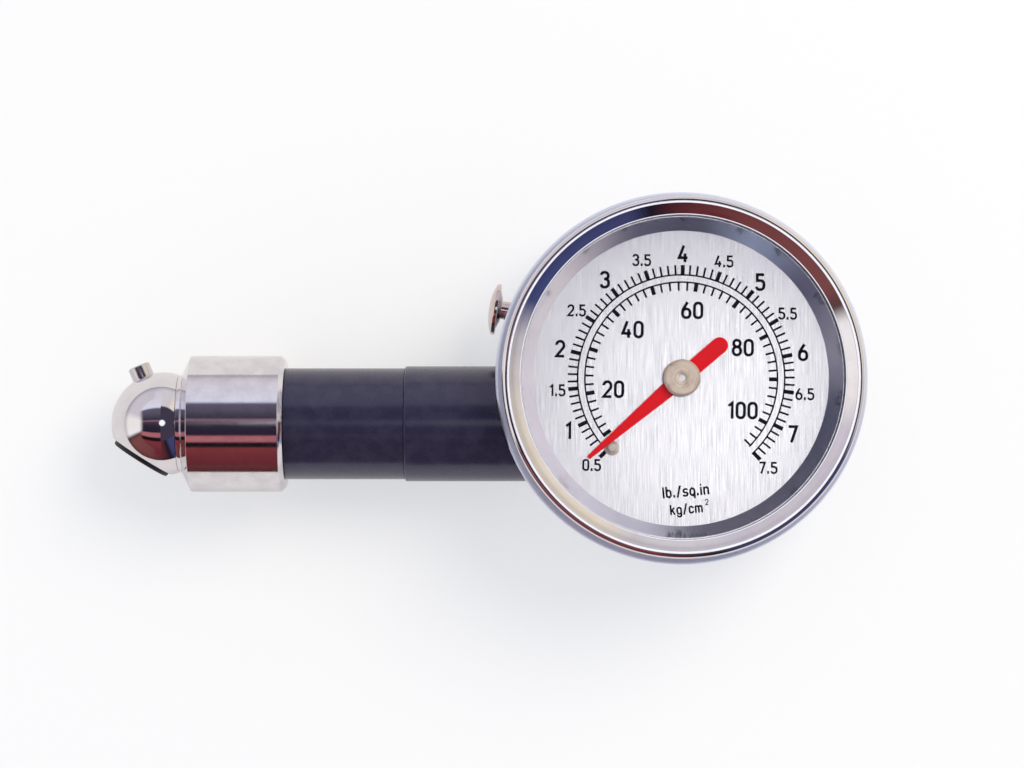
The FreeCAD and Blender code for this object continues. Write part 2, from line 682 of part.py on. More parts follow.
def make_sector_gear():
    low = SECTOR_Z
    high = SECTOR_Z + SECTOR_THICKNESS
    root = SECTOR_PITCH - GEAR_DEDENDUM * GEAR_MODULE
    tip = SECTOR_PITCH + GEAR_ADDENDUM * GEAR_MODULE
    pitch_angle = 360.0 / SECTOR_TEETH
    mesh = SECTOR_DIRECTION - 180.0
    count = math.ceil(SECTOR_SWEEP / pitch_angle) + 3
    first = mesh - (count - 2) * pitch_angle
    last = mesh + pitch_angle
    fan = sector_fan(root, low, high, first - pitch_angle / 2, last + pitch_angle / 2)
    teeth = []
    for number in range(count):
        direction = last - number * pitch_angle
        teeth.append(tooth(SECTOR_TEETH, root, tip, low, high, direction, BACKLASH))
    hub = SECTOR_ARBOR_RADIUS + SECTOR_HUB_WALL
    tail = Part.Face(Part.makePolygon([
        polar(hub, TAIL_ANGLE + 90, low),
        polar(hub, TAIL_ANGLE - 90, low),
        polar(TAIL_RADIUS, TAIL_ANGLE, low) + polar(TAIL_TIP_RADIUS, TAIL_ANGLE - 90),
        polar(TAIL_RADIUS, TAIL_ANGLE, low) + polar(TAIL_TIP_RADIUS, TAIL_ANGLE + 90),
        polar(hub, TAIL_ANGLE + 90, low),
    ])).extrude(UP * SECTOR_THICKNESS)
    tail = tail.fuse(upright(TAIL_TIP_RADIUS, polar(TAIL_RADIUS, TAIL_ANGLE), low, high))
    gear = fan.fuse([tail] + teeth)
    gear = gear.cut(upright(SECTOR_ARBOR_RADIUS, (0, 0), low, high))
    gear = gear.cut(upright(LINK_PIN_RADIUS, polar(TAIL_RADIUS, TAIL_ANGLE), low, high))
    gear.translate(SECTOR_PLACE)
    return gear.removeSplitter()


def make_sector_arbor():
    low = BACK_PLATE_Z + PLATE_THICKNESS - PIVOT_LENGTH
    plate_top = BACK_PLATE_Z + PLATE_THICKNESS
    high = FRONT_PLATE_Z + PIVOT_LENGTH
    arbor = upright(PIVOT_RADIUS, SECTOR_PLACE, low, high)
    body = upright(SECTOR_ARBOR_RADIUS, SECTOR_PLACE, plate_top + FACE_GAP, FRONT_PLATE_Z - FACE_GAP)
    return arbor.fuse(body).removeSplitter()


# Plates that hold the two arbors
def movement_plate(low):
    corners = [
        Vector(PILLAR_PLACES[0][0], PILLAR_PLACES[0][1], low),
        Vector(PILLAR_PLACES[1][0], PILLAR_PLACES[1][1], low),
        Vector(SECTOR_PLACE.x, SECTOR_PLACE.y, low),
        Vector(PILLAR_PLACES[2][0], PILLAR_PLACES[2][1], low),
    ]
    face = Part.Face(Part.makePolygon(corners + corners[:1]))
    return face.makeOffset2D(PLATE_MARGIN).extrude(UP * PLATE_THICKNESS)


def make_movement_back_plate():
    low = BACK_PLATE_Z
    high = low + PLATE_THICKNESS
    plate = movement_plate(low)
    for place in [(0, 0), SECTOR_PLACE]:
        plate = plate.cut(upright(PIVOT_RADIUS + RUNNING_FIT, place, low, high))
    for place in PILLAR_PLACES:
        plate = plate.cut(upright(SMALL_SCREW_RADIUS, place, low, high))
    for place in PLATE_SCREW_PLACES:
        plate = plate.cut(upright(SMALL_SCREW_RADIUS + RUNNING_FIT, place, low, high))
    return plate


def make_movement_front_plate():
    low = FRONT_PLATE_Z
    high = low + PLATE_THICKNESS
    plate = movement_plate(low)
    plate = plate.cut(upright(PINION_ARBOR_RADIUS + RUNNING_FIT, (0, 0), low, high))
    plate = plate.cut(upright(PIVOT_RADIUS + RUNNING_FIT, SECTOR_PLACE, low, high))
    plate = plate.cut(upright(STUD_RADIUS, HAIRSPRING_STUD, low, high))
    for place in PILLAR_PLACES:
        plate = plate.cut(upright(SMALL_SCREW_RADIUS + RUNNING_FIT, place, low, high))
    return plate


def make_movement_pillars():
    low = BACK_PLATE_Z + PLATE_THICKNESS
    pillars = []
    for place in PILLAR_PLACES:
        pillar = upright(PILLAR_RADIUS, place, low, FRONT_PLATE_Z)
        pillar = pillar.fuse(upright(SMALL_SCREW_RADIUS, place, BACK_PLATE_Z, low))
        hole_low = FRONT_PLATE_Z - SMALL_SCREW_GRIP
        pillar = pillar.cut(upright(SMALL_SCREW_RADIUS, place, hole_low, FRONT_PLATE_Z))
        pillars.append(pillar.removeSplitter())
    return Part.makeCompound(pillars)


def make_pillar_screws():
    seat = FRONT_PLATE_Z + PLATE_THICKNESS
    return Part.makeCompound([
        slotted_screw(place, seat, SMALL_SCREW_HEAD_RADIUS, SMALL_SCREW_HEAD,
                      SMALL_SCREW_RADIUS, PLATE_THICKNESS + SMALL_SCREW_GRIP)
        for place in PILLAR_PLACES
    ])


def make_plate_screws():
    seat = BACK_PLATE_Z + PLATE_THICKNESS
    return Part.makeCompound([
        slotted_screw(place, seat, SMALL_SCREW_HEAD_RADIUS, SMALL_SCREW_HEAD,
                      SMALL_SCREW_RADIUS, PLATE_THICKNESS + SMALL_SCREW_GRIP)
        for place in PLATE_SCREW_PLACES
    ])


# Hairspring: half rings whose centres alternate, so that each joins the next on a tangent
def make_hairspring():
    low = HAIRSPRING_Z - HAIRSPRING_HEIGHT / 2
    halves = []
    radius = COLLET_RADIUS
    for number in range(2 * HAIRSPRING_TURNS):
        shift = HAIRSPRING_STEP / 2 if number % 2 else -HAIRSPRING_STEP / 2
        centre = Vector(shift, 0, low)
        start = 180 if number % 2 else 0
        radius += HAIRSPRING_STEP
        half = Part.makeCylinder(radius, HAIRSPRING_HEIGHT, centre, UP, 180)
        core = Part.makeCylinder(radius - HAIRSPRING_STRIP, HAIRSPRING_HEIGHT, centre, UP, 180)
        half = half.cut(core)
        half.rotate(centre, UP, start)
        halves.append(half)
    return halves[0].fuse(halves[1:]).removeSplitter()


def make_hairspring_collet():
    low = Vector(0, 0, HAIRSPRING_Z - HAIRSPRING_HEIGHT / 2)
    root = PINION_PITCH - GEAR_DEDENDUM * GEAR_MODULE
    return ring(COLLET_RADIUS, root, low, low + UP * HAIRSPRING_HEIGHT)


def make_hairspring_stud():
    low = HAIRSPRING_Z - HAIRSPRING_HEIGHT / 2
    stud = upright(STUD_RADIUS, HAIRSPRING_STUD, low, FRONT_PLATE_Z + PLATE_THICKNESS)
    half_slit = HAIRSPRING_STRIP
    slit = box(
        (HAIRSPRING_STUD.x - half_slit, -STUD_RADIUS, low),
        (HAIRSPRING_STUD.x + half_slit, STUD_RADIUS / 4, HAIRSPRING_Z + HAIRSPRING_HEIGHT / 2),
    )
    return stud.cut(slit)


# Bourdon tube
def tube_section(width, height):
    """Flattened tube's section in the XZ plane: flat sides and bevelled crowns."""
    half = width / 2
    straight = height / 2 - half
    crown = half / 2
    corners = [
        Vector(TUBE_RADIUS + side * across, 0, HANDLE_Z + rise)
        for side, across, rise in [
            (1, half, -straight), (1, half, straight), (1, crown, height / 2), (-1, crown, height / 2),
            (-1, half, straight), (-1, half, -straight), (-1, crown, -height / 2), (1, crown, -height / 2),
            (1, half, -straight),
        ]
    ]
    return Part.Face(Part.makePolygon(corners))


def swept_tube(width, height, start, end):
    """The section turned about the dial's axis, from one angle to another."""
    face = tube_section(width, height)
    face.rotate(Vector(0, 0, 0), UP, start)
    return face.revolve(Vector(0, 0, 0), UP, end - start)


def make_bourdon_tube():
    outer = swept_tube(TUBE_WIDTH, TUBE_HEIGHT, TUBE_END, TUBE_START)
    inner = swept_tube(TUBE_WIDTH - 2 * TUBE_WALL, TUBE_HEIGHT - 2 * TUBE_WALL, TUBE_END, TUBE_START)
    return outer.cut(inner)


def make_tube_tip():
    """Brass end piece soldered over the tube's free end, with a lug for the link."""
    turn = math.degrees(TIP_CAP_LENGTH / TUBE_RADIUS)
    wide = TUBE_WIDTH + 2 * TIP_CAP_WALL
    tall = TUBE_HEIGHT + 2 * TIP_CAP_WALL
    closed_end = TUBE_END - math.degrees(TIP_CAP_WALL / TUBE_RADIUS)
    cap = swept_tube(wide, tall, closed_end, TUBE_END + turn)
    cap = cap.cut(swept_tube(TUBE_WIDTH, TUBE_HEIGHT, TUBE_END, TUBE_END + turn))
    low = SECTOR_Z
    high = SECTOR_Z + LUG_THICKNESS
    root = polar(TUBE_RADIUS - TUBE_WIDTH / 2 - TIP_CAP_WALL / 2, TUBE_END, low)
    other = polar(TUBE_RADIUS - TUBE_WIDTH / 2 - TIP_CAP_WALL / 2, TUBE_END + turn, low)
    end = Vector(TIP_PLACE.x, TIP_PLACE.y, low)
    across = (end - (root + other) * 0.5).cross(UP)
    across.normalize()
    across = across * TAIL_TIP_RADIUS
    lug = Part.Face(Part.makePolygon([root, end - across, end + across, other, root]))
    lug = lug.extrude(UP * LUG_THICKNESS)
    lug = lug.fuse(upright(TAIL_TIP_RADIUS, TIP_PLACE, low, high))
    tip = cap.fuse(lug).cut(upright(LINK_PIN_RADIUS, TIP_PLACE, low, high))
    return tip.removeSplitter()


def make_connecting_link():
    low = SECTOR_Z + SECTOR_THICKNESS + LINK_LIFT
    high = low + LINK_THICKNESS
    line = TIP_PLACE - TAIL_PLACE
    side = Vector(line.y, -line.x, 0)
    side.normalize()
    side = side * LINK_WAIST
    lift = Vector(0, 0, low)
    bar = Part.Face(Part.makePolygon([
        TAIL_PLACE + side + lift,
        TIP_PLACE + side + lift,
        TIP_PLACE - side + lift,
        TAIL_PLACE - side + lift,
        TAIL_PLACE + side + lift,
    ])).extrude(UP * LINK_THICKNESS)
    for place in (TAIL_PLACE, TIP_PLACE):
        bar = bar.fuse(upright(TAIL_TIP_RADIUS, place, low, high))
    bar = bar.cut(upright(LINK_PIN_RADIUS + LINK_OPEN_CLEARANCE, TAIL_PLACE, low, high))
    bar = bar.cut(upright(LINK_PIN_RADIUS + RUNNING_FIT, TIP_PLACE, low, high))
    return bar.removeSplitter()


def link_pin(place):
    """Shouldered pin that stands up through the link, with a head above it."""
    grip = SECTOR_THICKNESS + LINK_THICKNESS + 2 * LINK_LIFT
    return slotted_screw(place, SECTOR_Z + grip, LINK_PIN_HEAD_RADIUS, SMALL_SCREW_HEAD, LINK_PIN_RADIUS, grip)


def make_sector_link_pin():
    return link_pin((TAIL_PLACE.x, TAIL_PLACE.y))


def make_tip_link_pin():
    return link_pin((TIP_PLACE.x, TIP_PLACE.y))


# Socket block: handle, tube, movement and release valve all fasten to it
def make_socket_block():
    edge = CASE_RADIUS
    outline = [
        Vector(-edge, BLOCK_LOW_Y, BLOCK_BOTTOM_Z),
        Vector(BLOCK_INNER_X, BLOCK_LOW_Y, BLOCK_BOTTOM_Z),
        Vector(BLOCK_INNER_X, BLOCK_EAR_Y, BLOCK_BOTTOM_Z),
        Vector(BLOCK_EAR_X, BLOCK_EAR_Y, BLOCK_BOTTOM_Z),
        Vector(BLOCK_EAR_X, BLOCK_HIGH_Y, BLOCK_BOTTOM_Z),
        Vector(-edge, BLOCK_HIGH_Y, BLOCK_BOTTOM_Z),
        Vector(-edge, BLOCK_LOW_Y, BLOCK_BOTTOM_Z),
    ]
    block = Part.Face(Part.makePolygon(outline)).extrude(UP * (BLOCK_TOP_Z - BLOCK_BOTTOM_Z))
    block = block.common(upright(CASE_INNER - SLIP_FIT, (0, 0), BLOCK_BOTTOM_Z, BLOCK_TOP_Z))
    tongue = box(
        (BLOCK_INNER_X - TONGUE_ROOT, TONGUE_LOW_Y, BLOCK_BOTTOM_Z),
        (TONGUE_END_X, TONGUE_HIGH_Y, BACK_PLATE_Z),
    )
    block = block.fuse(tongue)
    for place in FOOT_PLACES:
        block = block.fuse(upright(FOOT_RADIUS, place, CASE_WALL, BLOCK_BOTTOM_Z))
    for place in FOOT_PLACES:
        block = block.cut(upright(BACK_SCREW_RADIUS, place, CASE_WALL, CASE_WALL + BACK_SCREW_GRIP))
    for place in PLATE_SCREW_PLACES:
        block = block.cut(upright(SMALL_SCREW_RADIUS, place, BACK_PLATE_Z - SMALL_SCREW_GRIP, BACK_PLATE_Z))
    # threaded socket for the stem, then the air passages
    block = block.cut(rod(SPIGOT_RADIUS, on_handle(-edge), on_handle(SPIGOT_DEPTH_X)))
    block = block.cut(rod(STEM_BORE_RADIUS, on_handle(SPIGOT_DEPTH_X), on_handle(PASSAGE_X + PASSAGE_RADIUS)))
    riser = Vector(PASSAGE_X, HANDLE_Y, HANDLE_Z)
    meets = on_button((PASSAGE_X - BUTTON_FOOT.x) / BUTTON_AXIS.x)
    block = block.cut(rod(PASSAGE_RADIUS, riser, meets))
    tube_mouth = polar(TUBE_RADIUS, TUBE_START, HANDLE_Z)
    block = block.cut(rod(PASSAGE_RADIUS, on_button(VALVE_SEAT_S + 4 * PASSAGE_RADIUS), tube_mouth))
    slot = swept_tube(TUBE_WIDTH, TUBE_HEIGHT, TUBE_START - TUBE_SLOT_ANGLE, TUBE_START)
    block = block.cut(slot)
    # stepped bore of the release valve
    block = block.cut(rod(GUIDE_RADIUS, on_button(-edge), on_button(VALVE_WEB_S)))
    block = block.cut(rod(VALVE_PORT_RADIUS, on_button(VALVE_WEB_S), on_button(VALVE_SEAT_S)))
    block = block.cut(rod(VALVE_CHAMBER_RADIUS, on_button(VALVE_SEAT_S), on_button(PLUG_S + PLUG_LENGTH + THROUGH)))
    return block.removeSplitter()


# Release valve
def make_release_button():
    rim = BUTTON_RIM_S
    dome_rise = BUTTON_DOME - BUTTON_RIM
    dome_middle = (BUTTON_HEAD_RADIUS * DOME_SHARE, -(BUTTON_RIM + dome_rise * DOME_RISE))
    rod_end = POPPET_S - POPPET_NOSE_LENGTH - FACE_GAP - rim
    stem_end = VALVE_WEB_S - BUTTON_TRAVEL - 2 * FACE_GAP - rim
    return turned(
        [
            (0, -BUTTON_DOME),
            (dome_middle[0], dome_middle[1], BUTTON_HEAD_RADIUS, -BUTTON_RIM),
            (BUTTON_HEAD_RADIUS, BUTTON_RIM_BACK),
            (BUTTON_BELL_RADIUS, BUTTON_RIM_BACK),
            (BUTTON_STEM_RADIUS + BUTTON_CONE_STEP, BUTTON_CONE),
            (BUTTON_STEM_RADIUS, BUTTON_CONE),
            (BUTTON_STEM_RADIUS, stem_end),
            (BUTTON_ROD_RADIUS, stem_end),
            (BUTTON_ROD_RADIUS, rod_end),
            (0, rod_end),
        ],
        on_button(rim),
        BUTTON_AXIS,
    )


def make_button_guide():
    return ring(GUIDE_RADIUS, BUTTON_STEM_RADIUS + RUNNING_FIT, on_button(GUIDE_S), on_button(VALVE_WEB_S))


def make_release_poppet():
    face = on_button(POPPET_S)
    disc = rod(POPPET_RADIUS, face, on_button(POPPET_S + POPPET_THICKNESS))
    nose = rod(POPPET_NOSE_RADIUS, on_button(POPPET_S - POPPET_NOSE_LENGTH), face)
    return disc.fuse(nose).removeSplitter()


def make_release_spring():
    return coil(RELEASE_SPRING_RADIUS, RELEASE_WIRE_RADIUS, on_button(RELEASE_SPRING_S), BUTTON_AXIS,
                RELEASE_SPRING_LENGTH, RELEASE_SPRING_TURNS)


def make_valve_plug():
    plug = rod(VALVE_CHAMBER_RADIUS, on_button(PLUG_S), on_button(PLUG_S + PLUG_LENGTH))
    return plug.cut(rod(PLUG_SOCKET_RADIUS, on_button(PLUG_S + PLUG_LENGTH / 2), on_button(PLUG_S + PLUG_LENGTH)))


# Handle
def make_stem_tube():
    left = NARROW_SLEEVE_X + FACE_GAP
    stem = rod(STEM_RADIUS, on_handle(left), on_handle(STEM_SHOULDER_X))
    spigots = rod(SPIGOT_RADIUS, on_handle(STEM_END_X), on_handle(SPIGOT_DEPTH_X))
    bore = rod(STEM_BORE_RADIUS, on_handle(STEM_END_X), on_handle(SPIGOT_DEPTH_X))
    return stem.fuse(spigots).cut(bore).removeSplitter()


def make_saddle_washer():
    washer = ring(SADDLE_RADIUS, SPIGOT_RADIUS + SLIP_FIT, on_handle(STEM_SHOULDER_X), on_handle(SPIGOT_DEPTH_X))
    return washer.cut(upright(CASE_RADIUS, (0, 0), 0, 2 * HANDLE_Z))


def make_wide_sleeve():
    start = on_handle(WIDE_SLEEVE_X)
    end = on_handle(SPIGOT_DEPTH_X)
    sleeve = rod(WIDE_SLEEVE_RADIUS, start, end)
    sleeve = sleeve.cut(rod(STEM_RADIUS + SLIP_FIT, start, end))
    sleeve = sleeve.cut(rod(SADDLE_RADIUS + SLIP_FIT, on_handle(STEM_SHOULDER_X - SLIP_FIT), end))
    sleeve = sleeve.cut(upright(CASE_RADIUS + SLIP_FIT, (0, 0), 0, 2 * HANDLE_Z))
    rim = [e for e in sleeve.Edges if abs(e.BoundBox.XMin - WIDE_SLEEVE_X) < 1e-4
           and e.BoundBox.XLength < 1e-4 and e.BoundBox.YLength > 2 * STEM_RADIUS + 1]
    return sleeve.makeFillet(SLEEVE_EDGE_ROUND, rim)


def make_narrow_sleeve():
    sleeve = ring(NARROW_SLEEVE_RADIUS, STEM_RADIUS + SLIP_FIT, on_handle(NARROW_SLEEVE_X), on_handle(WIDE_SLEEVE_X))
    return sleeve


def make_collar():
    length = COLLAR_LENGTH
    neck = NECK_GROOVE_RADIUS + COLLAR_RIM
    socket = HEAD_SHANK_LENGTH
    chamber_end = length - COLLAR_THREAD_LENGTH
    return turned(
        [
            (HEAD_SHANK_RADIUS, 0),
            (neck, 0),
            (COLLAR_RADIUS, COLLAR_SHOULDER),
            (COLLAR_RADIUS, length - COLLAR_CHAMFER),
            (COLLAR_RADIUS - COLLAR_CHAMFER, length),
            (SPIGOT_RADIUS, length),
            (SPIGOT_RADIUS, chamber_end),
            (CHECK_CHAMBER_RADIUS, chamber_end),
            (CHECK_CHAMBER_RADIUS, socket),
            (HEAD_SHANK_RADIUS, socket),
        ],
        on_handle(COLLAR_X),
        ALONG,
    )


# Chuck
def on_mouth(distance):
    return BALL_CENTRE + MOUTH_AXIS * distance


def on_deflator(distance):
    return BALL_CENTRE + DEFLATOR_AXIS * distance


def make_chuck_head():
    neck = BALL_REACH
    groove = neck - NECK_GROOVE_WIDTH
    head = turned(
        [
            (0, -BALL_RADIUS),
            bend((0, 0), BALL_RADIUS, -90, 0),
            (BALL_RADIUS, groove),
            (NECK_GROOVE_RADIUS, groove),
            (NECK_GROOVE_RADIUS, neck),
            (HEAD_SHANK_RADIUS, neck),
            (HEAD_SHANK_RADIUS, neck + HEAD_SHANK_LENGTH),
            (0, neck + HEAD_SHANK_LENGTH),
        ],
        BALL_CENTRE,
        ALONG,
    )
    head = head.cut(rod(2 * BALL_RADIUS, on_mouth(MOUTH_FLAT), on_mouth(2 * BALL_RADIUS)))
    seal_foot = MOUTH_FLAT + MOUTH_SEAL_PROUD - MOUTH_BORE_LENGTH - MOUTH_LIP_THICKNESS
    head = head.cut(rod(MOUTH_SEAL_RADIUS, on_mouth(seal_foot), on_mouth(MOUTH_FLAT)))
    flange_foot = seal_foot - PROBE_FLANGE_THICKNESS
    head = head.cut(rod(PROBE_FLANGE_RADIUS, on_mouth(flange_foot), on_mouth(seal_foot)))
    head = head.cut(rod(CHUCK_CHAMBER_RADIUS, on_mouth(flange_foot - CHUCK_CHAMBER_DEPTH), on_mouth(flange_foot)))
    head = head.cut(rod(CHUCK_PASSAGE_RADIUS, BALL_CENTRE, on_handle(COLLAR_X + HEAD_SHANK_LENGTH)))
    seat = BALL_RADIUS - DEFLATOR_SEAT
    head = head.cut(rod(DEFLATOR_RADIUS, on_deflator(seat), on_deflator(2 * BALL_RADIUS)))
    head = head.cut(rod(DEFLATOR_SHANK_RADIUS, on_deflator(seat - DEFLATOR_SHANK_LENGTH), on_deflator(seat)))
    return head.removeSplitter()


def make_mouth_seal():
    top = MOUTH_FLAT + MOUTH_SEAL_PROUD
    foot = top - MOUTH_BORE_LENGTH - MOUTH_LIP_THICKNESS
    return turned(
        [
            (MOUTH_LIP_RADIUS, foot),
            (MOUTH_SEAL_RADIUS, foot),
            (MOUTH_SEAL_RADIUS, top - MOUTH_SEAL_BEVEL),
            (MOUTH_SEAL_RADIUS - MOUTH_SEAL_BEVEL, top),
            (MOUTH_BORE_RADIUS, top),
            (MOUTH_BORE_RADIUS, top - MOUTH_BORE_LENGTH),
            (MOUTH_LIP_RADIUS, top - MOUTH_BORE_LENGTH),
        ],
        BALL_CENTRE,
        MOUTH_AXIS,
    )


def make_core_probe():
    seal_foot = MOUTH_FLAT + MOUTH_SEAL_PROUD - MOUTH_BORE_LENGTH - MOUTH_LIP_THICKNESS
    flange_foot = seal_foot - PROBE_FLANGE_THICKNESS
    tip = seal_foot + MOUTH_LIP_THICKNESS - PROBE_RECESS
    probe = rod(PROBE_FLANGE_RADIUS, on_mouth(flange_foot), on_mouth(seal_foot))
    side = UP * (PROBE_RADIUS + MOUTH_LIP_RADIUS) * 0.5
    for number in range(PROBE_PORTS):
        turn = FreeCAD.Rotation(MOUTH_AXIS, number * 360.0 / PROBE_PORTS)
        shift = turn.multVec(side)
        probe = probe.cut(rod(PROBE_PORT_RADIUS, on_mouth(flange_foot) + shift, on_mouth(seal_foot) + shift))
    return probe.fuse(rod(PROBE_RADIUS, on_mouth(flange_foot), on_mouth(tip))).removeSplitter()


def make_deflator_pin():
    seat = BALL_RADIUS - DEFLATOR_SEAT
    top = BALL_RADIUS + DEFLATOR_PROUD
    return turned(
        [
            (0, seat - DEFLATOR_SHANK_LENGTH),
            (DEFLATOR_SHANK_RADIUS, seat - DEFLATOR_SHANK_LENGTH),
            (DEFLATOR_SHANK_RADIUS, seat),
            (DEFLATOR_RADIUS, seat),
            (DEFLATOR_RADIUS, top - DEFLATOR_BEVEL),
            (DEFLATOR_RADIUS - DEFLATOR_BEVEL, top),
            (0, top),
        ],
        BALL_CENTRE,
        DEFLATOR_AXIS,
    )


# Check valve
def make_check_seat():
    start = on_handle(CHECK_SEAT_X)
    return ring(CHECK_CHAMBER_RADIUS, CHUCK_PASSAGE_RADIUS, start, start + ALONG * CHECK_SEAT_THICKNESS)


def make_check_poppet():
    disc = rod(CHECK_DISC_RADIUS, on_handle(CHECK_X), on_handle(CHECK_SPRING_X))
    stem = rod(CHECK_STEM_RADIUS, on_handle(CHECK_SPRING_X), on_handle(CHECK_SPRING_X + CHECK_STEM_LENGTH))
    return disc.fuse(stem).removeSplitter()


def make_check_spring():
    return coil(CHECK_SPRING_RADIUS, CHECK_WIRE_RADIUS, on_handle(CHECK_SPRING_X), ALONG,
                STEM_END_X - CHECK_SPRING_X, CHECK_SPRING_TURNS)


PIECES = {
    "case_cup": make_case_cup,
    "back_screws": make_back_screws,
    "bezel_ring": make_bezel_ring,
    "dial_carrier": make_dial_carrier,
    "dial_plate": make_dial_plate,
    "spacer_ring": make_spacer_ring,
    "lens_gasket": make_lens_gasket,
    "lens": make_lens,
    "stop_pin": make_stop_pin,
    "pointer": make_pointer,
    "pointer_hub": make_pointer_hub,
    "hub_washer": make_hub_washer,
    "pinion_arbor": make_pinion_arbor,
    "sector_gear": make_sector_gear,
    "sector_arbor": make_sector_arbor,
    "movement_back_plate": make_movement_back_plate,
    "movement_front_plate": make_movement_front_plate,
    "movement_pillars": make_movement_pillars,
    "pillar_screws": make_pillar_screws,
    "plate_screws": make_plate_screws,
    "hairspring": make_hairspring,
    "hairspring_collet": make_hairspring_collet,
    "hairspring_stud": make_hairspring_stud,
    "bourdon_tube": make_bourdon_tube,
    "tube_tip": make_tube_tip,
    "connecting_link": make_connecting_link,
    "sector_link_pin": make_sector_link_pin,
    "tip_link_pin": make_tip_link_pin,
    "socket_block": make_socket_block,
    "release_button": make_release_button,
    "button_guide": make_button_guide,
    "release_poppet": make_release_poppet,
    "release_spring": make_release_spring,
    "valve_plug": make_valve_plug,
    "stem_tube": make_stem_tube,
    "saddle_washer": make_saddle_washer,
    "wide_sleeve": make_wide_sleeve,
    "narrow_sleeve": make_narrow_sleeve,
    "collar": make_collar,
    "chuck_head": make_chuck_head,
    "mouth_seal": make_mouth_seal,
    "core_probe": make_core_probe,
    "deflator_pin": make_deflator_pin,
    "check_seat": make_check_seat,
    "check_poppet": make_check_poppet,
    "check_spring": make_check_spring,
}

os.makedirs("parts", exist_ok=True)
for name, make in PIECES.items():
    make().exportStep("parts/" + name + ".step")
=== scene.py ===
import math

import bmesh
import bpy
from mathutils import Matrix, Vector


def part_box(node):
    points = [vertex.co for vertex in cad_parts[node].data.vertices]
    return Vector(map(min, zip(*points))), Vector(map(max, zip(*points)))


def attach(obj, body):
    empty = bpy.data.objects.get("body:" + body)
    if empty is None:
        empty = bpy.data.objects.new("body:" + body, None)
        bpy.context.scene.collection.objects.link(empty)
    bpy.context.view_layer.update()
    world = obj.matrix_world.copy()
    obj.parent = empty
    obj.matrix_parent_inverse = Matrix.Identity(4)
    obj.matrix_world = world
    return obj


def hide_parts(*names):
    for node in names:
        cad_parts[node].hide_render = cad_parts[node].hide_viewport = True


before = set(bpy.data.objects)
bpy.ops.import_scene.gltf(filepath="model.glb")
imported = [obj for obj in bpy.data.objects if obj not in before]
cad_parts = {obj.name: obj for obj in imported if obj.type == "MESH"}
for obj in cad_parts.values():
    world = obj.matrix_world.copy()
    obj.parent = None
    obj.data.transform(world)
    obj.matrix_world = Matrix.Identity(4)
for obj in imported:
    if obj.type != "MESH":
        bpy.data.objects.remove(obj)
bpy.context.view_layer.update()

MM = 0.001

# Camera. The photograph was taken from straight above, a little to the lower left of the dial,
# with a long lens half a metre away. The two points are pixels of the 1024 x 768 frame.
FRAME_PX = (1024, 768)
FOCAL_PX = 3350
SENSOR_WIDTH = 36.0
STRAIGHT_DOWN_PX = (530.0, 470.0)
DIAL_CENTRE_PX = (683.6, 376.8)
BEZEL_PLANE = Vector((0, 0, 25.5 * MM))
CAMERA_HEIGHT = 0.5     # above the bezel's plane

def pixel_ray(pixel):
    """Direction of a pixel in the camera's own axes."""
    across = (pixel[0] - FRAME_PX[0] / 2) / FOCAL_PX
    up = (FRAME_PX[1] / 2 - pixel[1]) / FOCAL_PX
    return Vector((across, up, -1.0))

camera_data = bpy.data.cameras.new("camera")
camera_data.sensor_width = SENSOR_WIDTH
camera_data.lens = FOCAL_PX * SENSOR_WIDTH / FRAME_PX[0]
camera_data.clip_start = 0.01
camera_data.clip_end = 20.0
camera = bpy.data.objects.new("camera", camera_data)
bpy.context.scene.collection.objects.link(camera)
camera.rotation_mode = "QUATERNION"
camera.rotation_quaternion = pixel_ray(STRAIGHT_DOWN_PX).rotation_difference(Vector((0, 0, -1)))
to_dial = camera.rotation_quaternion @ pixel_ray(DIAL_CENTRE_PX)
camera.location = BEZEL_PLANE - to_dial * (CAMERA_HEIGHT / abs(to_dial.z))
bpy.context.scene.camera = camera
bpy.context.scene.view_settings.view_transform = "Standard"

# Table. A plain white sheet that the gauge lies on with its back down; it takes the soft shadow.
# One large round mesh, so that no edge of it comes into any view.
TABLE_RADIUS = 3.0
TABLE_SIDES = 64
TABLE_DROP = 0.05 * MM      # below the case's back
TABLE_GLOW = 0.5            # of its white to the camera, metal and glass, that no shadow takes away

def add_node(tree, kind, inputs=(), **settings):
    """New shader node; an input is a value or another node's output."""
    node = tree.nodes.new("ShaderNode" + kind)
    for setting, value in settings.items():
        setattr(node, setting, value)
    for socket, source in dict(inputs).items():
        if isinstance(source, bpy.types.NodeSocket):
            tree.links.new(source, node.inputs[socket])
        else:
            node.inputs[socket].default_value = source
    return node

def calculate(tree, operation, first, second=0.0):
    return add_node(tree, "Math", {0: first, 1: second}, operation=operation).outputs[0]

table_mesh = bmesh.new()
bmesh.ops.create_circle(table_mesh, cap_ends=True, radius=TABLE_RADIUS, segments=TABLE_SIDES)
bmesh.ops.translate(table_mesh, verts=table_mesh.verts, vec=(0, 0, -TABLE_DROP))
table_data = bpy.data.meshes.new("table")
table_mesh.to_mesh(table_data)
table_mesh.free()
table = bpy.data.objects.new("table", table_data)
bpy.context.scene.collection.objects.link(table)
table_paper = bpy.data.materials.new("table_paper")
table_paper.use_nodes = True
table_shader = table_paper.node_tree.nodes["Principled BSDF"]
table_shader.inputs["Base Color"].default_value = (0.97, 0.955, 0.93, 1)
table_shader.inputs["Roughness"].default_value = 0.9
table_shader.inputs["Specular IOR Level"].default_value = 0.1
table_tree = table_paper.node_tree
diffuse_ray = add_node(table_tree, "LightPath").outputs["Is Diffuse Ray"]
glow = calculate(table_tree, "MULTIPLY", calculate(table_tree, "SUBTRACT", 1.0, diffuse_ray), TABLE_GLOW)
white = add_node(table_tree, "Emission").outputs[0]
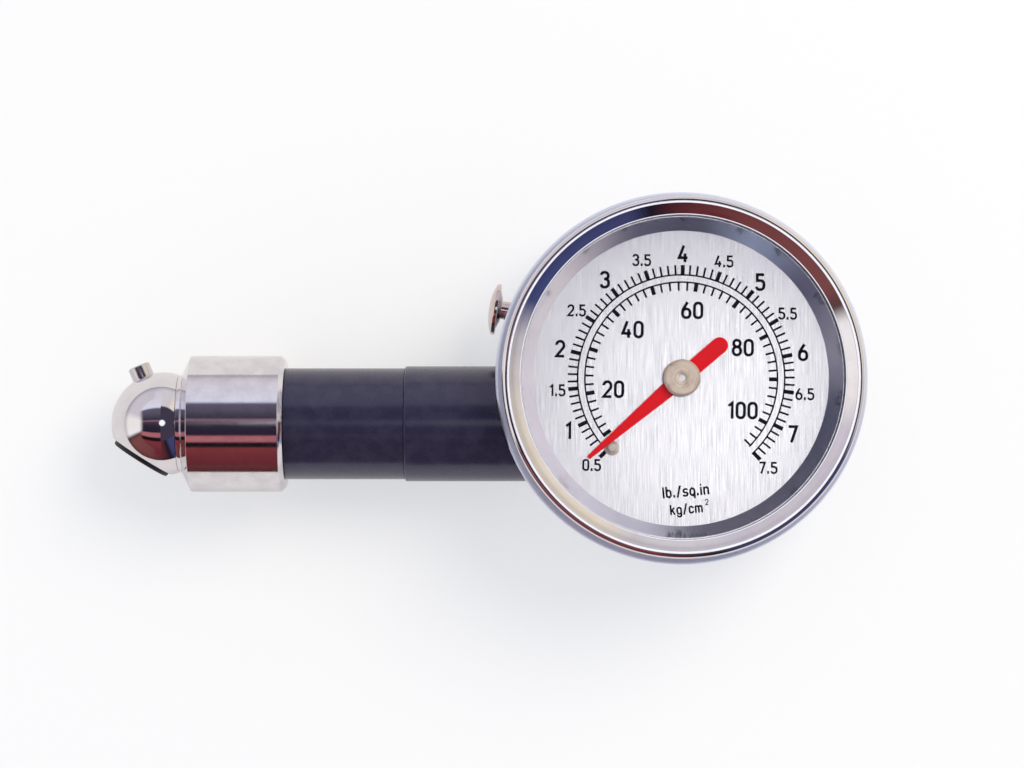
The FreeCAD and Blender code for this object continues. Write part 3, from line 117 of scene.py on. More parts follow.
table_mix = add_node(table_tree, "MixShader", {0: glow, 1: table_shader.outputs[0], 2: white})
table_tree.links.new(table_mix.outputs[0], table_tree.nodes["Material Output"].inputs["Surface"])
table_data.materials.append(table_paper)

# Light. A plain pale room all round, white to the camera, and a large soft window lamp at the upper
# right for the shading and the shadow. Polished metal sees the room's own shapes: walls of several
# colours, a dark ceiling with a skylight over the dial, and cloths and beams over the chuck.
ROOM_LEVEL = 0.74
ROOM_TINT = (0.90, 0.955, 1.08)
SKYLIGHT = (1.15, 1.15, 1.20, 1)
SKYLIGHT_WAY = Vector((0.055, 0.015, 1.0))      # to the skylight's middle
CEILING = (0.055, 0.045, 0.075, 1)
DIAL_GLARE = (2.6, 2.6, 2.5, 1)      # what the silver under the glass sees overhead
DIAL_CEILING = (0.24, 0.23, 0.29, 1)    # and round it
DIAL_WALLS = [      # degrees round from the dial's top; what the spacer ring sees
    (0, (0.03, 0.03, 0.08)),
    (15, (0.75, 0.74, 0.80)),
    (60, (1.20, 1.12, 1.10)),
    (125, (1.06, 0.96, 0.88)),
    (156, (0.04, 0.04, 0.10)),
    (185, (0.01, 0.01, 0.04)),
    (205, (0.40, 0.48, 0.62)),
    (232, (0.04, 0.04, 0.10)),
    (262, (0.40, 0.38, 0.42)),
    (285, (0.01, 0.02, 0.07)),
    (345, (0.01, 0.01, 0.05)),
    (360, (0.03, 0.03, 0.08)),
]
CHUCK_BANDS = [     # degrees from straight up towards the dial's top; colour
    (-90, (0.12, 0.020, 0.028)),
    (-60, (0.17, 0.030, 0.036)),
    (-42, (0.22, 0.040, 0.046)),
    (-40, (0.010, 0.007, 0.010)),
    (-33, (0.010, 0.007, 0.010)),
    (-31, (0.46, 0.15, 0.17)),
    (-22, (0.46, 0.15, 0.17)),
    (-20, (0.020, 0.014, 0.030)),
    (-6, (0.030, 0.022, 0.045)),
    (3, (0.07, 0.045, 0.065)),
    (6, (0.34, 0.18, 0.24)),
    (8, (0.04, 0.035, 0.060)),
    (22, (0.10, 0.09, 0.13)),
    (33, (0.13, 0.11, 0.17)),
    (37, (0.76, 0.78, 0.90)),
    (60, (0.78, 0.74, 0.82)),
    (90, (0.76, 0.70, 0.76)),
]
CHUCK_SIDE = (-0.62, -0.02)     # across the handle, of the directions that the bands reach
CHUCK_SIDE_LOW = -0.16          # and of those near the horizon
ROOM_WALLS = [      # degrees round from the dial's top towards its right; colour of the wall there
    (0, (0.74, 0.70, 0.74)),
    (20, (0.70, 0.66, 0.68)),
    (30, (0.92, 0.82, 0.68)),
    (65, (0.90, 0.80, 0.66)),
    (78, (0.82, 0.74, 0.64)),
    (102, (0.58, 0.54, 0.58)),
    (114, (0.060, 0.075, 0.20)),
    (158, (0.055, 0.060, 0.16)),
    (166, (0.012, 0.010, 0.018)),
    (176, (0.10, 0.022, 0.028)),
    (200, (0.19, 0.055, 0.055)),
    (238, (0.22, 0.075, 0.072)),
    (246, (0.10, 0.05, 0.05)),
    (252, (1.02, 0.98, 0.96)),
    (278, (1.00, 0.94, 0.90)),
    (290, (0.70, 0.64, 0.70)),
    (345, (0.66, 0.62, 0.68)),
    (360, (0.74, 0.70, 0.74)),
]
WALL_TOP = 0.76         # height of a direction at which the walls give way to the ceiling
WALL_SHADE = 0.6        # of the walls' colour that is left at their foot
WALL_EDGE = 0.04
WALL_FOOT = (-0.02, 0.22)       # heights of directions between which the shade ends
CHUCK_FOOT = (0.22, 0.30)       # and between which the bands over the chuck begin
CHUCK_RISE = (0.5, 0.6)         # and their side moves outwards
CHUCK_EDGE = (-0.14, 0.01)      # how softly the bands end, to the left and to the right
SKYLIGHT_EDGE = (0.13, 0.10)    # distances from the skylight's middle
GLARE_EDGE = (0.080, 0.015)
RING_EDGE = (0.97, 0.92)        # heights between which the dial's walls begin
THROUGH_GLASS = 3.5     # faces of glass passed; more than this is a ray that went in and out again
INSIDE_GLASS = 2.0      # a ray that turned back in the glass

def between(tree, share, first, second, kind="RGBA"):
    """Mix of two colours or two values by a share."""
    first_socket = 6 if kind == "RGBA" else 2
    node = add_node(tree, "Mix", {0: share, first_socket: first, first_socket + 1: second}, data_type=kind)
    return node.outputs[2 if kind == "RGBA" else 0]

def mask(tree, value, low, high):
    """Share that rises softly from 0 at low to 1 at high."""
    inputs = {"Value": value, "From Min": low, "From Max": high}
    return add_node(tree, "MapRange", inputs, interpolation_type="SMOOTHSTEP").outputs["Result"]

room = bpy.data.worlds.new("room")
bpy.context.scene.world = room
room.use_nodes = True
room_tree = room.node_tree
room_tree.nodes.clear()

def bands(angle, stops):
    """Colours along an angle, from stops of (degrees, colour)."""
    first, last = stops[0][0], stops[-1][0]
    share = add_node(room_tree, "MapRange", {
        "Value": angle, "From Min": math.radians(first), "From Max": math.radians(last)}).outputs["Result"]
    ramp = add_node(room_tree, "ValToRGB", {"Fac": share})
    elements = ramp.color_ramp.elements
    while len(elements) < len(stops):
        elements.new(0.5)
    for element, (degrees, colour) in zip(elements, stops):
        element.position = (degrees - first) / (last - first)
        element.color = colour + (1,)
    return ramp.outputs["Color"]

way = add_node(room_tree, "TexCoord").outputs["Generated"]
split = add_node(room_tree, "SeparateXYZ", {0: way})
way_x, way_y, way_z = (split.outputs[axis] for axis in "XYZ")
tilt = calculate(room_tree, "ARCTAN2", way_y, way_z)
turned_back = [calculate(room_tree, "MULTIPLY", part, -1.0) for part in (way_x, way_y)]
bearing = calculate(room_tree, "ADD", calculate(room_tree, "ARCTAN2", *turned_back), math.pi)
path = add_node(room_tree, "LightPath").outputs
behind_glass = calculate(room_tree, "GREATER_THAN", path["Transmission Depth"], THROUGH_GLASS)
wall_shade = between(room_tree, mask(room_tree, way_z, *WALL_FOOT), WALL_SHADE, 1.0, "FLOAT")
walls = add_node(room_tree, "VectorMath", {
    0: bands(bearing, ROOM_WALLS), "Scale": wall_shade}, operation="SCALE").outputs[0]
walls_share = mask(room_tree, way_z, WALL_TOP + WALL_EDGE, WALL_TOP)
mirrored = between(room_tree, walls_share, CEILING, walls)
side_end = between(room_tree, mask(room_tree, way_z, *CHUCK_RISE), CHUCK_SIDE_LOW, CHUCK_SIDE[0], "FLOAT")
past_end = calculate(room_tree, "SUBTRACT", way_x, side_end)
over_chuck = calculate(
    room_tree, "MULTIPLY",
    mask(room_tree, past_end, CHUCK_EDGE[0], 0.0),
    mask(room_tree, way_x, CHUCK_SIDE[1] + CHUCK_EDGE[1], CHUCK_SIDE[1]))
over_chuck = calculate(room_tree, "MULTIPLY", over_chuck, mask(room_tree, way_z, *CHUCK_FOOT))
mirrored = between(room_tree, over_chuck, mirrored, bands(tilt, CHUCK_BANDS))
off_skylight = add_node(room_tree, "VectorMath", {
    0: way, 1: SKYLIGHT_WAY.normalized()}, operation="DISTANCE").outputs["Value"]
mirrored = between(room_tree, mask(room_tree, off_skylight, *SKYLIGHT_EDGE), mirrored, SKYLIGHT)
glare = between(room_tree, mask(room_tree, off_skylight, *GLARE_EDGE), DIAL_CEILING, DIAL_GLARE)
by_ring = between(room_tree, mask(room_tree, way_z, *RING_EDGE), glare, bands(bearing, DIAL_WALLS))
mirrored = between(room_tree, behind_glass, mirrored, by_ring)
on_glass = calculate(room_tree, "MULTIPLY", path["Is Singular Ray"], path["Is Reflection Ray"])
mirrored = between(room_tree, on_glass, mirrored, CEILING)
inside_glass = calculate(room_tree, "COMPARE", path["Transmission Depth"], INSIDE_GLASS)
mirrored = between(room_tree, inside_glass, mirrored, CEILING)
bounces = calculate(room_tree, "ADD", path["Glossy Depth"], path["Diffuse Depth"])
straight = calculate(room_tree, "LESS_THAN", bounces, 0.5)
through_glass = calculate(room_tree, "MULTIPLY", path["Is Transmission Ray"], straight)
in_view = calculate(room_tree, "MAXIMUM", path["Is Camera Ray"], through_glass)
in_metal = calculate(room_tree, "GREATER_THAN", path["Glossy Depth"], 0.5)
plain = tuple(ROOM_LEVEL * tint for tint in ROOM_TINT) + (1,)
plain_light = between(room_tree, in_metal, plain, mirrored)
shown = between(room_tree, in_view, plain_light, (1, 1, 1, 1))
room_light = add_node(room_tree, "Background", {"Color": shown})
add_node(room_tree, "OutputWorld", {"Surface": room_light.outputs[0]})

WINDOW_PLACE = Vector((0.80, 0.75, 1.2))
WINDOW_SIZE = 1.0
WINDOW_POWER = 13.5
WINDOW_LIGHT = (1.0, 0.92, 0.80)
window_data = bpy.data.lights.new("window", "AREA")
window_data.shape = "DISK"
window_data.size = WINDOW_SIZE
window_data.energy = WINDOW_POWER
window_data.color = WINDOW_LIGHT
window = bpy.data.objects.new("window", window_data)
bpy.context.scene.collection.objects.link(window)
window.location = WINDOW_PLACE
window.rotation_euler = (-WINDOW_PLACE).to_track_quat("-Z", "Y").to_euler()
window.visible_glossy = False       # polished metal sees the room instead, also through the glass
window.visible_transmission = False

# Case. A cup drawn from sheet steel and plated with blue-tinted zinc, 56 mm across. It stands on
# its flat back and steps in to a neck at the shoulder, which carries the dial and the bezel. Two
# holes are drilled in its side, for the handle's stem and for the button.
case_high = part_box("case_cup")[1]
handle_low, handle_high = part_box("narrow_sleeve")
CASE_RADIUS = case_high.x
CASE_SHOULDER = 19.0 * MM
CASE_NECK = 26.4 * MM
CASE_WALL = 0.8 * MM
CASE_BACK_ROUND = 2.6 * MM
CASE_SHOULDER_ROUND = 0.6 * MM
CASE_SIDES = 192
MIDDLE_SIDES = 96        # of middling round pieces
SMALL_SIDES = 48
HANDLE_Y = (handle_low.y + handle_high.y) / 2
HANDLE_Z = (handle_low.z + handle_high.z) / 2
ALONG = Vector((1, 0, 0))
UP = Vector((0, 0, 1))
DIAL_AXIS = Vector((0, 0, 0))

def rounded(corners, steps=6):
    """Outline from (x, y, round) corners, where each round is drawn as an arc."""
    points = []
    for number, (x, y, turn) in enumerate(corners):
        here = Vector((x, y))
        if not turn:
            points.append(here)
            continue
        back = (Vector(corners[number - 1][:2]) - here).normalized()
        ahead = (Vector(corners[(number + 1) % len(corners)][:2]) - here).normalized()
        half = back.angle(ahead) / 2
        centre = here + (back + ahead).normalized() * turn / math.sin(half)
        start = here + back * turn / math.tan(half) - centre
        end = here + ahead * turn / math.tan(half) - centre
        sweep = start.angle(end)
        for step in range(steps + 1):
            share = step / steps
            arm = start * math.sin((1 - share) * sweep) + end * math.sin(share * sweep)
            points.append(centre + arm / math.sin(sweep))
    return points

def arc(centre, radius, start, end, steps):
    """Points of an arc, with its angles in degrees."""
    turns = [math.radians(start + (end - start) * step / steps) for step in range(steps + 1)]
    return [Vector((centre[0] + radius * math.cos(turn), centre[1] + radius * math.sin(turn)))
            for turn in turns]

def turned(outline, base, axis, sides):
    """Solid turned from an outline of (radius, height) points about an axis."""
    shape = bmesh.new()
    axis = Vector(axis).normalized()
    out = axis.cross(UP) if abs(axis.z) < 0.9 else ALONG
    out = out.normalized()
    other = axis.cross(out)
    turns = [2 * math.pi * number / sides for number in range(sides)]
    rings = []
    for radius, height in outline:
        centre = Vector(base) + axis * height
        if radius < 1e-7:
            rings.append([shape.verts.new(centre)])
        else:
            arms = [out * math.cos(turn) + other * math.sin(turn) for turn in turns]
            rings.append([shape.verts.new(centre + arm * radius) for arm in arms])
    open_ended = len(rings[0]) == 1 and len(rings[-1]) == 1
    following_rings = rings[1:] if open_ended else rings[1:] + rings[:1]
    for low, high in zip(rings, following_rings):
        for number in range(sides):
            following = (number + 1) % sides
            corners = [low[number % len(low)], low[following % len(low)]]
            corners += [high[following % len(high)], high[number % len(high)]]
            corners = list(dict.fromkeys(corners))
            if len(corners) > 2:
                shape.faces.new(corners)
    bmesh.ops.recalc_face_normals(shape, faces=shape.faces)
    return shape

CREASE = math.radians(32)       # sharper folds stay creased
BEVELLED = math.radians(40)     # and those sharper than this get a bevel, where a piece has one

def settle(piece):
    """Applies a piece's modifiers, keeps its creases and evens its normals."""
    for modifier in ("shape", "normals"):
        if modifier == "normals":
            evened = piece.data.attributes.get("custom_normal")
            if evened:      # of an earlier shape, which would hide new creases
                piece.data.attributes.remove(evened)
            piece.data.shade_smooth()
            piece.data.set_sharp_from_angle(angle=CREASE)
            piece.modifiers.new("even", "WEIGHTED_NORMAL").keep_sharp = True
        bpy.context.view_layer.update()
        shaped = piece.evaluated_get(bpy.context.evaluated_depsgraph_get())
        data = bpy.data.meshes.new_from_object(shaped)
        piece.modifiers.clear()
        piece.data = data

def make_piece(name, shape, material, bevel=0.0):
    """Scene object from a mesh, with a fine bevel on its sharp edges where one is given."""
    data = bpy.data.meshes.new(name)
    shape.to_mesh(data)
    shape.free()
    data.materials.append(material)
    piece = bpy.data.objects.new(name, data)
    bpy.context.scene.collection.objects.link(piece)
    if bevel:
        edges = piece.modifiers.new("edges", "BEVEL")
        edges.width = bevel
        edges.segments = 2
        edges.limit_method = "ANGLE"
        edges.angle_limit = BEVELLED
    settle(piece)
    return piece

def dress(piece, body, slot, *nodes):
    """Body and the CAD nodes that a piece stands for; the finish slot is not used."""
    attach(piece, body)
    if nodes:
        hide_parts(*nodes)

def cut(piece, shape):
    """Cuts a tool's shape out of a piece."""
    tool = make_piece("tool", shape, piece.data.materials[0])
    opening = piece.modifiers.new("opening", "BOOLEAN")
    opening.object = tool
    opening.operation = "DIFFERENCE"
    opening.solver = "EXACT"
    settle(piece)
    bpy.data.objects.remove(tool)

def drill(piece, radius, start, end, sides=SMALL_SIDES):
    """Cuts a round hole from one point to another."""
    line = Vector(end) - Vector(start)
    cut(piece, turned([(0, 0), (radius, 0), (radius, line.length), (0, line.length)], start, line, sides))

def node_group(name, inputs, outputs):
    """Shader group with named sockets, and its two end nodes."""
    group = bpy.data.node_groups.new(name, "ShaderNodeTree")
    for socket, kind, value in inputs:
        made = group.interface.new_socket(name=socket, in_out="INPUT", socket_type="NodeSocket" + kind)
        made.default_value = value
    for socket, kind in outputs:
        group.interface.new_socket(name=socket, in_out="OUTPUT", socket_type="NodeSocket" + kind)
    return group, group.nodes.new("NodeGroupInput").outputs, group.nodes.new("NodeGroupOutput").inputs

# Fine marks: specks and clouds of a second colour, rougher than the rest, with a slight relief.
# The sizes are in metres.
MARK_INPUTS = [
    ("Colour", "Color", (0.8, 0.8, 0.8, 1)),
    ("Mark Colour", "Color", (0.3, 0.3, 0.3, 1)),
    ("Size", "Float", 0.0002),
    ("Amount", "Float", 0.3),
    ("Depth", "Float", 0.000002),
    ("Smooth", "Float", 0.1),
    ("Rough", "Float", 0.3),
]
LOOK_OUTPUTS = [("Colour", "Color"), ("Roughness", "Float"), ("Normal", "Vector")]
CLOUD_SIZE = 14.0       # specks across a cloud
SPECK_EDGE = (0.52, 0.7)
CLOUD_EDGE = (0.35, 0.7)

def finish_group(group, given, made, share, height):
    """Colour, roughness and normal of a group, from the share of marks and their height."""
    group.links.new(between(group, share, given["Colour"], given["Mark Colour"]), made["Colour"])
    group.links.new(between(group, share, given["Smooth"], given["Rough"], "FLOAT"), made["Roughness"])
    relief = add_node(group, "Bump", {"Height": height, "Distance": given["Depth"]})
    group.links.new(relief.outputs["Normal"], made["Normal"])

fine_marks, given, made = node_group("fine_marks", MARK_INPUTS, LOOK_OUTPUTS)
spot = add_node(fine_marks, "TexCoord").outputs["Object"]
per_metre = calculate(fine_marks, "DIVIDE", 1.0, given["Size"])
specks = add_node(fine_marks, "TexNoise", {
    "Vector": spot, "Scale": per_metre, "Detail": 4.0, "Roughness": 0.65})
cloud_scale = calculate(fine_marks, "DIVIDE", per_metre, CLOUD_SIZE)
clouds = add_node(fine_marks, "TexNoise", {"Vector": spot, "Scale": cloud_scale, "Detail": 3.0})
speck_share = mask(fine_marks, specks.outputs["Fac"], *SPECK_EDGE)
cloud_share = mask(fine_marks, clouds.outputs["Fac"], *CLOUD_EDGE)
share = calculate(fine_marks, "MULTIPLY", calculate(fine_marks, "ADD", speck_share, cloud_share), 0.5)
share = calculate(fine_marks, "MULTIPLY", share, given["Amount"])
finish_group(fine_marks, given, made, share, specks.outputs["Fac"])

def finish(name, group, metallic, look, **shader_values):
    """Material with a group's colour, roughness and normal, from these values."""
    material = bpy.data.materials.new(name)
    material.use_nodes = True
    tree = material.node_tree
    shader = tree.nodes["Principled BSDF"].inputs
    shader["Metallic"].default_value = metallic
    for value_name, value in shader_values.items():
        shader[value_name.replace("_", " ")].default_value = value
    surface = add_node(tree, "Group", node_tree=group)
    for value_name, value in look.items():
        surface.inputs[value_name.replace("_", " ")].default_value = value
    tree.links.new(surface.outputs["Colour"], shader["Base Color"])
    tree.links.new(surface.outputs["Roughness"], shader["Roughness"])
    tree.links.new(surface.outputs["Normal"], shader["Normal"])
    return material

zinc = finish("blue_zinc", fine_marks, 0.5, dict(
    Colour=(0.78, 0.81, 0.93, 1), Mark_Colour=(0.62, 0.67, 0.84, 1), Size=0.0003, Amount=0.5,
    Depth=0.000002, Smooth=0.40, Rough=0.55))

inside = CASE_RADIUS - CASE_WALL
neck_inside = CASE_NECK - CASE_WALL
ledge = CASE_SHOULDER - CASE_WALL
cup = turned(rounded([
    (0, 0, 0),
    (CASE_RADIUS, 0, CASE_BACK_ROUND),
    (CASE_RADIUS, CASE_SHOULDER, CASE_SHOULDER_ROUND),
    (CASE_NECK, CASE_SHOULDER, 0),
    (CASE_NECK, case_high.z, 0),
    (neck_inside, case_high.z, 0),
    (neck_inside, ledge, 0),
    (inside, ledge, 0),
    (inside, CASE_WALL, CASE_BACK_ROUND - CASE_WALL),
    (0, CASE_WALL, 0),
], 8), DIAL_AXIS, UP, CASE_SIDES)
case_cup = make_piece("case_shell", cup, zinc)

STEM_HOLE = 3.58 * MM
BUTTON_HOLE = 1.64 * MM
BUTTON_TILT = math.radians(9)
BUTTON_OFFSET = 6.28 * MM       # of the button's axis from the dial's centre
BUTTON_AXIS = Vector((math.cos(BUTTON_TILT), -math.sin(BUTTON_TILT), 0))
BUTTON_FOOT = Vector((math.sin(BUTTON_TILT), math.cos(BUTTON_TILT), 0)) * BUTTON_OFFSET + UP * HANDLE_Z
HOLE_START = 31 * MM            # outside the case's side
HOLE_END = 24 * MM              # inside it

def on_handle(x):
    return Vector((x, HANDLE_Y, HANDLE_Z))

def on_button(distance):
    return BUTTON_FOOT + BUTTON_AXIS * distance

drill(case_cup, STEM_HOLE, on_handle(-HOLE_START), on_handle(-HOLE_END))
drill(case_cup, BUTTON_HOLE, on_button(-HOLE_START), on_button(-HOLE_END))
SCREW_PLACES = [Vector((-20.5 * MM, -8.5 * MM, 0)), Vector((-20.5 * MM, 7.5 * MM, 0))]
SCREW_HEAD = 2.3 * MM
SCREW_SHANK = 1.25 * MM
SCREW_PLAY = 0.08 * MM
SCREW_SEAT = 0.4 * MM
for place in SCREW_PLACES:
    drill(case_cup, SCREW_SHANK + SCREW_PLAY, place - UP * MM, place + UP * CASE_WALL * 2)
    drill(case_cup, SCREW_HEAD + SCREW_PLAY, place - UP * MM, place + UP * SCREW_SEAT)
dress(case_cup, "case", "case_zinc", "case_cup")

# Back screws. Two turned steel screws through the case's back into the feet of the socket block.
# Their heads lie in shallow seats, just clear of the table, with a slot across each for a driver.
SCREW_TOP = 0.02 * MM
SCREW_GRIP = 3.2 * MM
SCREW_SLOT = Vector((0.6 * MM, 6.0 * MM, 0.5 * MM))
SCREW_TURNS = (25, 95)      # degrees; how the two slots happen to lie

def cross_bar(centre, size, turn):
    """Closed bar about a centre, turned about the dial's axis."""
    shape = bmesh.new()
    bmesh.ops.create_cube(shape, size=1.0)
    bmesh.ops.scale(shape, verts=shape.verts, vec=size)
    bmesh.ops.rotate(shape, verts=shape.verts, matrix=Matrix.Rotation(math.radians(turn), 3, "Z"))
    bmesh.ops.translate(shape, verts=shape.verts, vec=centre)
    return shape

steel = finish("turned_steel", fine_marks, 1.0, dict(
    Colour=(0.70, 0.70, 0.72, 1), Mark_Colour=(0.48, 0.47, 0.48, 1), Size=0.0002, Amount=0.5,
    Depth=0.000002, Smooth=0.16, Rough=0.34))
back_screws = []
for number, place in enumerate(SCREW_PLACES):
    screw = turned(rounded([
        (0, SCREW_TOP, 0),
        (SCREW_HEAD, SCREW_TOP, 0.08 * MM),
        (SCREW_HEAD, SCREW_SEAT, 0),
        (SCREW_SHANK, SCREW_SEAT, 0),
        (SCREW_SHANK, SCREW_SEAT + SCREW_GRIP, 0.1 * MM),
        (0, SCREW_SEAT + SCREW_GRIP, 0),
    ]), place, UP, SMALL_SIDES)
    back_screws.append(make_piece("back_screw_%d" % (number + 1), screw, steel))
    cut(back_screws[-1], cross_bar(place, SCREW_SLOT, SCREW_TURNS[number]))
    dress(back_screws[-1], "case", "bright_steel")
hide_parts("back_screws")

# Works inside the case. A brass socket block takes the handle, the Bourdon tube and the movement,
# a sector gear that turns the pinion on the pointer's arbor against a hairspring. These pieces
# have the CAD's own shapes, and get the brass or steel they are made of.
def give(material, *nodes):
    """Material for CAD nodes that keep their shape."""
    for node in nodes:
        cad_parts[node].data.materials.clear()
        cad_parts[node].data.materials.append(material)

brass = finish("machined_brass", fine_marks, 1.0, dict(
    Colour=(0.80, 0.58, 0.28, 1), Mark_Colour=(0.52, 0.34, 0.16, 1), Size=0.0002, Amount=0.5,
    Depth=0.000003, Smooth=0.2, Rough=0.4))
tube_brass = finish("drawn_tube_brass", fine_marks, 1.0, dict(
    Colour=(0.83, 0.62, 0.34, 1), Mark_Colour=(0.50, 0.36, 0.24, 1), Size=0.0005, Amount=0.7,
    Depth=0.000002, Smooth=0.16, Rough=0.34))
spring_steel = finish("blued_spring_steel", fine_marks, 1.0, dict(
    Colour=(0.40, 0.41, 0.50, 1), Mark_Colour=(0.22, 0.22, 0.28, 1), Size=0.0002, Amount=0.5,
    Depth=0.000002, Smooth=0.2, Rough=0.4))
black_rubber = finish("black_rubber", fine_marks, 0.0, dict(
    Colour=(0.012, 0.010, 0.013, 1), Mark_Colour=(0.035, 0.032, 0.036, 1), Size=0.00015, Amount=0.8,
    Depth=0.000008, Smooth=0.45, Rough=0.7))
give(brass, "socket_block", "stem_tube", "valve_plug", "button_guide", "core_probe", "check_poppet",
     "saddle_washer", "sector_gear", "movement_back_plate", "movement_front_plate",
     "movement_pillars", "hairspring_collet", "connecting_link")
give(tube_brass, "bourdon_tube", "tube_tip")
give(steel, "pinion_arbor", "sector_arbor", "hairspring_stud", "pillar_screws", "plate_screws",
     "sector_link_pin", "tip_link_pin")
give(spring_steel, "release_spring", "check_spring", "hairspring")
give(black_rubber, "check_seat", "lens_gasket", "release_poppet")

# Dial. A disc of silver aluminium, brushed straight up and down, which lies on a black carrier
# ring in the case's neck.
GRAIN_EDGE = (0.3, 0.75)
brushed, given, made = node_group("brushed_grain", MARK_INPUTS + [("Length", "Float", 0.006)], LOOK_OUTPUTS)
spot = add_node(brushed, "TexCoord").outputs["Object"]
per_metre = calculate(brushed, "DIVIDE", 1.0, given["Size"])
per_length = calculate(brushed, "DIVIDE", 1.0, given["Length"])
grain_scale = add_node(brushed, "CombineXYZ", {"X": per_metre, "Y": per_length, "Z": per_metre}).outputs[0]
grain_place = add_node(brushed, "VectorMath", {0: spot, 1: grain_scale}, operation="MULTIPLY").outputs[0]
grain = add_node(brushed, "TexNoise", {
    "Vector": grain_place, "Scale": 1.0, "Detail": 3.0, "Roughness": 0.7})
share = calculate(brushed, "MULTIPLY", mask(brushed, grain.outputs["Fac"], *GRAIN_EDGE), given["Amount"])
finish_group(brushed, given, made, share, grain.outputs["Fac"])

silver = finish("brushed_silver", brushed, 0.85, dict(
    Colour=(0.90, 0.89, 0.93, 1), Mark_Colour=(0.74, 0.74, 0.81, 1), Size=0.00010, Length=0.006,
    Amount=0.7, Depth=0.0000008, Smooth=0.14, Rough=0.22))
carrier_black = finish("black_carrier_paint", fine_marks, 0.0, dict(
    Colour=(0.015, 0.014, 0.018, 1), Mark_Colour=(0.04, 0.04, 0.045, 1), Size=0.0002, Amount=0.5,
    Depth=0.000003, Smooth=0.35, Rough=0.55))
give(silver, "dial_plate")
give(carrier_black, "dial_carrier")

# Dial printing. Black ink, 0.02 mm thick, printed on the dial: two ring lines between an outer
# scale in kg/cm2 and an inner one in psi. Each figure is drawn with a pen of one width along its
# middle line, on a grid 4 wide and 8 high.
dial_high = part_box("dial_plate")[1]
INK_BOTTOM = dial_high.z - 0.004 * MM
INK_TOP = dial_high.z + 0.02 * MM
PRINT_TURN = 0.9        # degrees clockwise, of the whole print on the disc
OUTER_LINE = 15.7 * MM
INNER_LINE = 14.6 * MM
OUTER_TICK_END = 17.2 * MM
INNER_TICK_END = 13.3 * MM
LINE_WIDTH = 0.24 * MM
THIN_TICK = 0.3 * MM
THICK_TICK = 0.6 * MM
OUTER_FIGURES = 18.9 * MM
INNER_FIGURES = 10.45 * MM
LARGE_FIGURE = 2.7 * MM
SMALL_FIGURE = 1.85 * MM
PEN = 1.55             # in units of the figures' grid
FIGURE_HEIGHT = 8 + PEN
FIGURE_GAP = 0.8
SCALE_START = -135.0    # degrees clockwise from the top
DEGREES_PER_BAR = 270 / 7
FIRST_BAR = 0.5
LAST_BAR = 7.5
PSI_PER_BAR = 14.223
FIRST_PSI = 10
LAST_PSI = 106
RING_STEPS = 180
CURVE_STEPS = 5
LEGEND_TILT = 6
LEGEND = [      # words, their middle on the dial and their height
    ("lb./sq.in", Vector((0.65, -17.05)) * MM, 1.8 * MM),
    ("kg/cm", Vector((0.75, -19.75)) * MM, 1.65 * MM),
    ("2", Vector((3.85, -18.75)) * MM, 0.95 * MM),
]
BOWL = [(0, 0, 1.7), (3.4, 0, 1.7), (3.4, 5.4, 1.7), (0, 5.4, 1.7), True]
